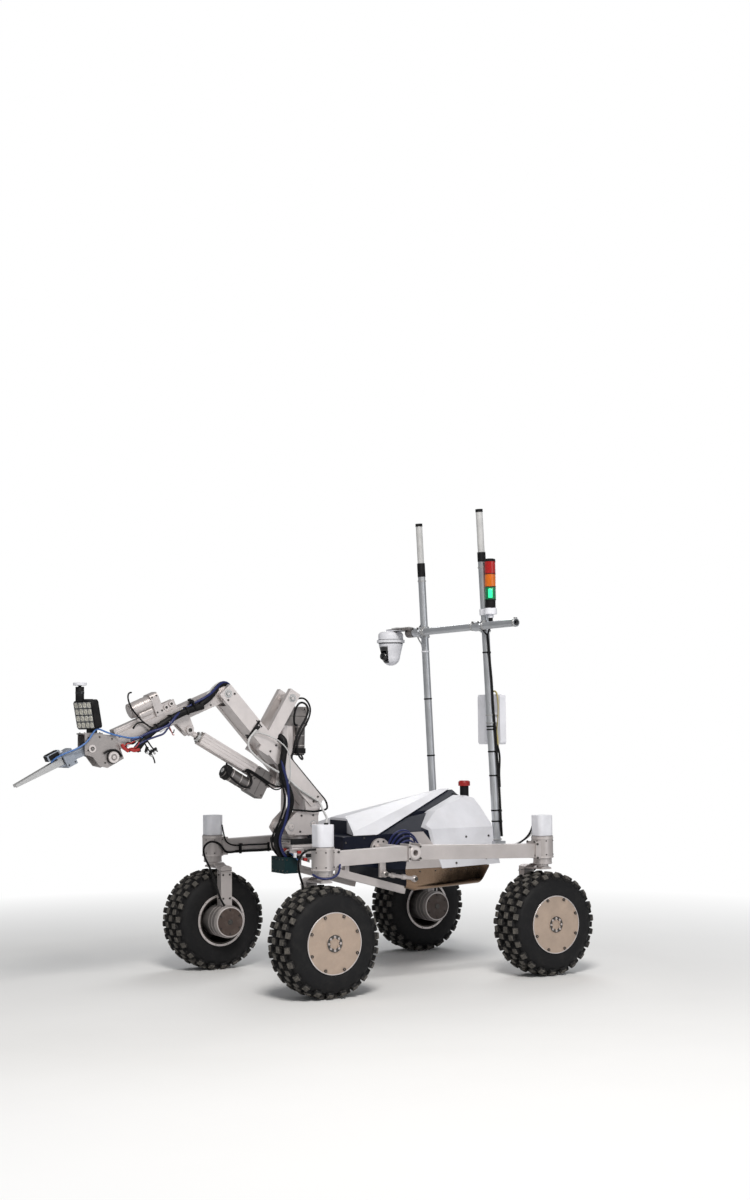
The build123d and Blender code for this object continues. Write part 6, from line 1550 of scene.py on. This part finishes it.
class ROVER_OT_masts(FittingTables, bpy.types.Operator):
    """Add the masts' ties, clamps and cables, the light tower's rings and the dome camera's fittings"""

    bl_idname = "rover.masts"
    bl_label = "Masts and light tower"

    # x, height of a mast's foot and of its place at the crossbar, and how far it stands sideways
    foot, level, side_y = (-366.0, 415.0), (-332.0, 1138.0), 188.0
    # side, height, inner radius, outer radius, width, finish
    bands = (
        *((1, z, 12.8, 14.4, 5.0, 0) for z in (1048, 800, 790, 716, 636, 520, 484)),
        (-1, 1068, 12.8, 14.4, 5.0, 1),
        *((-1, z, 12.8, 14.4, 5.0, 0) for z in (900, 700, 520)),
        *((1, z, 13.0, 15.6, 4.4, 2) for z in (812, 838)),
        *((side, z, 16.8, 18.4, 4.0, 2) for z in (1122, 1148) for side in (1, -1)),
        *((side, 424, 12.9, 17.0, 4.0, 2) for side in (1, -1)),
        (1, 1334, 12.9, 14.8, 6.0, 2), (-1, 1318, 12.9, 14.8, 6.0, 2),
    )
    # height, shift of a cable clip from the left mast's middle
    clips = ((1048, 4, 17), (795, -6, 16), (716, -8, 15), (636, -11, 13), (520, -13, 11), (484, -11, 13))
    # height, shift sideways of the flat antenna's clamp rods, and their ends before and behind the mast
    panel_rods, rod_front, rod_back = tuple((z, dy) for z in (812, 838) for dy in (-14, 14)), 4, -22
    crossbar_x, crossbar_z, crossbar_bands = -306, 1138, (-222, -160, -150, 150, 214, 392)
    clamp_ys = (-172, -204, 172, 204)
    upper_screws = tuple((-293, y, 1150) for y in clamp_ys)
    lower_screws = tuple((-318, y, 1126) for y in clamp_ys)
    slope = 0.7
    # radius, height, finish
    crossbar_screw = (3.2, 3.4, 3)
    # inner radius, outer radius, width, finish
    crossbar_band = (12.4, 14.2, 7.0, 2)

    tower_x, tower_y = -324, 232
    # height, inner radius, outer radius, width, finish: bands, rings on the foot, ribs over each lens
    tower_bands = (
        *((z, 17.4, 18.9, 2.6, 0) for z in (1222.6, 1266.0, 1309.2, 1352.2)),
        *((1199 + step * 6, 16.0, 17.3, 3.0, 0) for step in range(4)),
        *((low + step * 3.3, 17.6, 18.5, 1.9, index)
          for index, low in ((1, 1226.4), (2, 1269.8), (3, 1313.0)) for step in range(12)),
        (1360.4, 0.6, 14.0, 1.8, 0),
    )
    lens_z = 1058
    # height or place ahead of the dome's middle, inner radius, outer radius, width, finish
    seal_rings = ((1104.6, 37.0, 45.2, 2.2, 0), (1117.0, 44.6, 45.8, 1.6, 0))
    lens_rings = ((37.5, 6.5, 11.2, 2.6, 0), (39.0, 0.5, 6.5, 2.0, 1))

    def on_mast(self, side, z):
        """A mast's centre at a height."""
        share = (z - self.foot[1]) / (self.level[1] - self.foot[1])
        return (self.foot[0] + share * (self.level[0] - self.foot[0]), side * self.side_y, z)

    def execute(self, context):
        grid = bmesh.new()
        self.mast_rings(grid)
        for y in self.crossbar_bands:
            ring(grid, (self.crossbar_x, y, self.crossbar_z), LEFT, *self.crossbar_band)
            block(grid, (self.crossbar_x, y + 3.5, self.crossbar_z + 15), (10, 8, 6), 0, 1.0, 2)
        screws(grid, self.upper_screws, (self.slope, 0, self.slope), *self.crossbar_screw)
        screws(grid, self.lower_screws, (-self.slope, 0, -self.slope), *self.crossbar_screw)
        piece("mast_fittings", grid, "chassis", ("black_mould", "white_cap", "ground_steel", "dark_screw"))
        self.tower()
        self.dome()
        return super().execute(context)

    def mast_rings(self, grid):
        """Bands, cable clips and the flat antenna's clamps on the masts."""
        axis = (self.level[0] - self.foot[0], 0, self.level[1] - self.foot[1])
        for side, z, inner, outer, width, index in self.bands:
            ring(grid, self.on_mast(side, z), axis, inner, outer, width, index)
        for z, dx, dy in self.clips:
            x, y, _ = self.on_mast(1, z)
            ring(grid, (x + dx, y + dy, z - 2), axis, 4.2, 5.8, 7.0, 0, 24)
            block(grid, (x + dx * 0.6, y + dy + 4, z), (5, 6, 5), 0, 1.0)
        for z, dy in self.panel_rods:
            x, y, _ = self.on_mast(1, z)
            bar(grid, (x + self.rod_front, y + dy, z + 2), (x + self.rod_back, y + dy, z + 2), 2.4, 2)

    def tower(self):
        """Rings between the coloured lenses, their ribs and the lit middle of the lowest."""
        x, y = self.tower_x, self.tower_y
        grid = bmesh.new()
        for z, inner, outer, width, index in self.tower_bands:
            ring(grid, (x, y, z), UP, inner, outer, width, index)
        block(grid, (x + 10.1, y + 14.2, 1245), (14.0, 3.4, 30.0), 0, 1.2, 4, -35.0)
        bar(grid, (x, y, 1164), (x, y, 1150), 7.0)
        finishes = ("black_mould", "green_lens", "amber_lens", "red_lens", "lit_green")
        piece("tower_rings", grid, "chassis", finishes)

    def dome(self):
        """Seal rings and lens rims of the dome camera."""
        grid = bmesh.new()
        for z, *sizes in self.seal_rings:
            ring(grid, (DOME_X, DOME_Y, z), UP, *sizes)
        piece("dome_seal", grid, "camera_pan", ("black_mould",))
        grid = bmesh.new()
        for ahead, *sizes in self.lens_rings:
            ring(grid, (DOME_X + ahead, DOME_Y, self.lens_z), AHEAD, *sizes)
        piece("dome_lens_ring", grid, "camera_tilt", ("black_mould", "smoked_glass"))

    cables = (
        ("panel_lead", "sand_cable", 3.0, "chassis",
         ((-366, 170, 914), (-366, 182, 922), (-364, 200, 918), (-364, 208, 900), (-365, 210, 874),
          (-366, 208, 846), (-366, 205, 820), (-366, 198, 790), (-364, 204, 768), (-363, 206, 748),
          (-366, 203, 730))),
        ("mast_lead_second", "black_cable", 3.4, "chassis",
         ((-362, 203, 742), (-366, 207, 724), (-369, 208, 698), (-370, 205, 676), (-369, 202.5, 640),
          (-372, 202, 600))),
        ("mast_lead_top", "black_cable", 2.6, "chassis",
         ((-306, 212, 1126), (-308, 214, 1118), (-318, 210, 1112), (-328, 206, 1108), (-331, 205, 1100))),
        ("tower_lead", "black_cable", 3.0, "chassis",
         ((-324, 232, 1152), (-324, 231, 1142), (-322, 226, 1128), (-322, 218, 1116), (-326, 210, 1108),
          (-329, 206, 1098))),
        ("mast_lead_far", "white_cable", 2.4, "chassis",
         ((-318, -212, 1124), (-322, -210, 1112), (-330, -204, 1098), (-334, -204.5, 1074),
          (-338, -204, 1040), (-341, -204, 980), (-345, -203.6, 900), (-350, -203.6, 800),
          (-355, -203.6, 700), (-360, -203.6, 600), (-364, -203, 500), (-366, -201, 440))),
        ("dome_lead", "white_cable", 2.4, "chassis",
         ((-276, -318, 1157), (-284, -300, 1160), (-294, -280, 1158), (-304, -256, 1160),
          (-312, -236, 1158), (-322, -222, 1150), (-326, -214, 1136), (-324, -211, 1122))),
        ("antenna_lead_left", "black_cable", 2.6, "chassis",
         ((-321, 203, 1352), (-322, 206, 1336), (-324, 204, 1310), (-325, 203, 1280), (-328, 203, 1240),
          (-330, 204, 1220))),
        ("antenna_lead_right", "black_cable", 2.6, "chassis",
         ((-322, -202, 1338), (-322, -206, 1324), (-324, -204, 1290), (-327, -203, 1240),
          (-330, -203, 1190), (-330, -206, 1160), (-318, -212, 1152))),
    )


class ROVER_OT_stage(bpy.types.Operator):
    """Pale floor, soft studio lamps and the camera"""

    bl_idname = "rover.stage"
    bl_label = "Stage"

    # turn round Z, pitch up and roll of the camera in degrees, focal length in pixels of the photograph
    heading, pitch, roll, focal = 31.29, 4.44, -0.60, 1671.0
    place, sensor, sight = (2900, 4793, 795), 36.0, 60.0
    # name, place, what it points at, size, power, colour
    lamps = (
        ("key_lamp", (1500, 3000, 3600), (0, 0, 500), 1.4, 150.0, (1.0, 0.97, 0.93)),
        ("fill_lamp", (-1200, 4200, 1400), (0, 0, 500), 3.0, 22.0, (0.95, 0.97, 1.0)),
        ("back_lamp", (-2200, -2200, 2800), (0, 0, 600), 2.2, 45.0, (1.0, 1.0, 1.0)),
    )
    sky, sky_strength, backdrop = (0.96, 0.98, 1.0, 1.0), 0.30, (1.0, 1.0, 1.0, 1.0)
    # the floor's radius, its two tones, its roughness, and where it starts and ends to fade to the backdrop
    floor_radius, floor_tones, floor_roughness = 14.0, ((0.80, 0.80, 0.80), (0.84, 0.84, 0.84)), 0.85
    fade_from, fade_to = 1.3, 3.2

    def execute(self, context):
        self.world(context)
        self.floor()
        for row in self.lamps:
            self.lamp(*row)
        self.camera(context)
        return {"FINISHED"}

    def mix_where_seen(self, tree, share, lit, shown, target):
        """Shows one shader to the camera and through glass, by a share, and another to all other rays."""
        path = add_node(tree, "ShaderNodeLightPath")
        seen = product(tree, path.outputs["Is Camera Ray"], path.outputs["Is Transmission Ray"], "MAXIMUM")
        either = add_node(tree, "ShaderNodeMixShader")
        join(tree, product(tree, share, seen), either.inputs["Fac"])
        join(tree, lit.outputs[0], either.inputs[1])
        join(tree, shown.outputs[0], either.inputs[2])
        join(tree, either.outputs[0], target.inputs["Surface"])

    def world(self, context):
        """Dim soft light all round, with a white backdrop."""
        world = bpy.data.worlds.new("studio")
        world.use_nodes = True
        context.scene.world = world
        tree = world.node_tree
        lit = tree.nodes["Background"]
        lit.inputs["Color"].default_value = self.sky
        lit.inputs["Strength"].default_value = self.sky_strength
        shown = add_node(tree, "ShaderNodeBackground", color=self.backdrop)
        self.mix_where_seen(tree, 1.0, lit, shown, tree.nodes["World Output"])

    def floor(self):
        """A pale round floor that fades to the backdrop."""
        grid = bmesh.new()
        bmesh.ops.create_circle(grid, cap_ends=True, segments=96, radius=self.floor_radius)
        mesh = bpy.data.meshes.new("floor")
        grid.to_mesh(mesh)
        grid.free()
        made = bpy.data.objects.new("floor", mesh)
        bpy.context.scene.collection.objects.link(made)
        material, tree, shader = new_material("pale_floor")
        mesh.materials.append(material)
        shader.inputs["Roughness"].default_value = self.floor_roughness
        place = surface_place(tree)
        tone = blend_colours(tree, noise(tree, place, 3.0), *self.floor_tones)
        join(tree, tone, shader.inputs["Base Color"])
        length = add_node(tree, "ShaderNodeVectorMath", operation="LENGTH")
        join(tree, place, length.inputs[0])
        far = spread(tree, length.outputs["Value"], self.fade_from, self.fade_to)
        glow = add_node(tree, "ShaderNodeEmission")
        self.mix_where_seen(tree, far, shader, glow, tree.nodes["Material Output"])

    def lamp(self, name, place, target, size, power, colour):
        """One round soft lamp."""
        data = bpy.data.lights.new(name, "AREA")
        data.shape = "DISK"
        data.size = size
        data.energy = power
        data.color = colour
        made = bpy.data.objects.new(name, data)
        bpy.context.scene.collection.objects.link(made)
        made.location = at(*place)
        made.rotation_euler = (at(*target) - at(*place)).to_track_quat("-Z", "Y").to_euler()

    def camera(self, context):
        """The photograph's camera."""
        heading, pitch, roll = radians(self.heading), radians(self.pitch), radians(self.roll)
        ahead = Vector((-sin(heading) * cos(pitch), -cos(heading) * cos(pitch), sin(pitch)))
        level = Vector((-cos(heading), sin(heading), 0))
        above = level.cross(ahead)
        right = level * cos(roll) + above * sin(roll)
        up = above * cos(roll) - level * sin(roll)
        data = bpy.data.cameras.new("camera")
        data.sensor_width = self.sensor
        data.lens = self.focal / PHOTO_HIGH * self.sensor
        data.clip_end = self.sight
        made = bpy.data.objects.new("camera", data)
        bpy.context.scene.collection.objects.link(made)
        turn = Matrix((right, up, -ahead)).transposed()
        made.matrix_world = Matrix.Translation(at(*self.place)) @ turn.to_4x4()
        context.scene.camera = made
        context.scene.view_settings.view_transform = "Standard"


OPERATORS = (ROVER_OT_frame_finishes, ROVER_OT_tyres, ROVER_OT_wheel_covers, ROVER_OT_columns,
             ROVER_OT_body, ROVER_OT_arm_base, ROVER_OT_boom, ROVER_OT_actuators, ROVER_OT_forearm,
             ROVER_OT_wrist, ROVER_OT_masts, ROVER_OT_stage)


class ROVER_PT_panel(bpy.types.Panel):
    """Lists the rover's operators and settings"""

    bl_label = "Rover"
    bl_idname = "ROVER_PT_panel"
    bl_space_type = "VIEW_3D"
    bl_region_type = "UI"
    bl_category = "Rover"

    def draw(self, context):
        for operator in OPERATORS:
            self.layout.operator(operator.bl_idname)
        for group in (context.scene.rover_sizes, context.scene.rover_colours):
            for name in group.bl_rna.properties.keys():
                if name not in ("rna_type", "name"):
                    self.layout.prop(group, name)


CLASSES = (RoverSizes, RoverColours, *OPERATORS, ROVER_PT_panel)


def register():
    """Registers the classes and puts the settings on the scene."""
    for cls in CLASSES:
        bpy.utils.register_class(cls)
    bpy.types.Scene.rover_sizes = PointerProperty(type=RoverSizes)
    bpy.types.Scene.rover_colours = PointerProperty(type=RoverColours)


def unregister():
    """Takes the settings and classes away again."""
    del bpy.types.Scene.rover_colours
    del bpy.types.Scene.rover_sizes
    for cls in reversed(CLASSES):
        bpy.utils.unregister_class(cls)


def main():
    """Builds the dressed rover, piece by piece."""
    register()
    for operator in OPERATORS:
        group, name = operator.bl_idname.split(".")
        getattr(getattr(bpy.ops, group), name)()


if __name__ == "__main__":
    main()
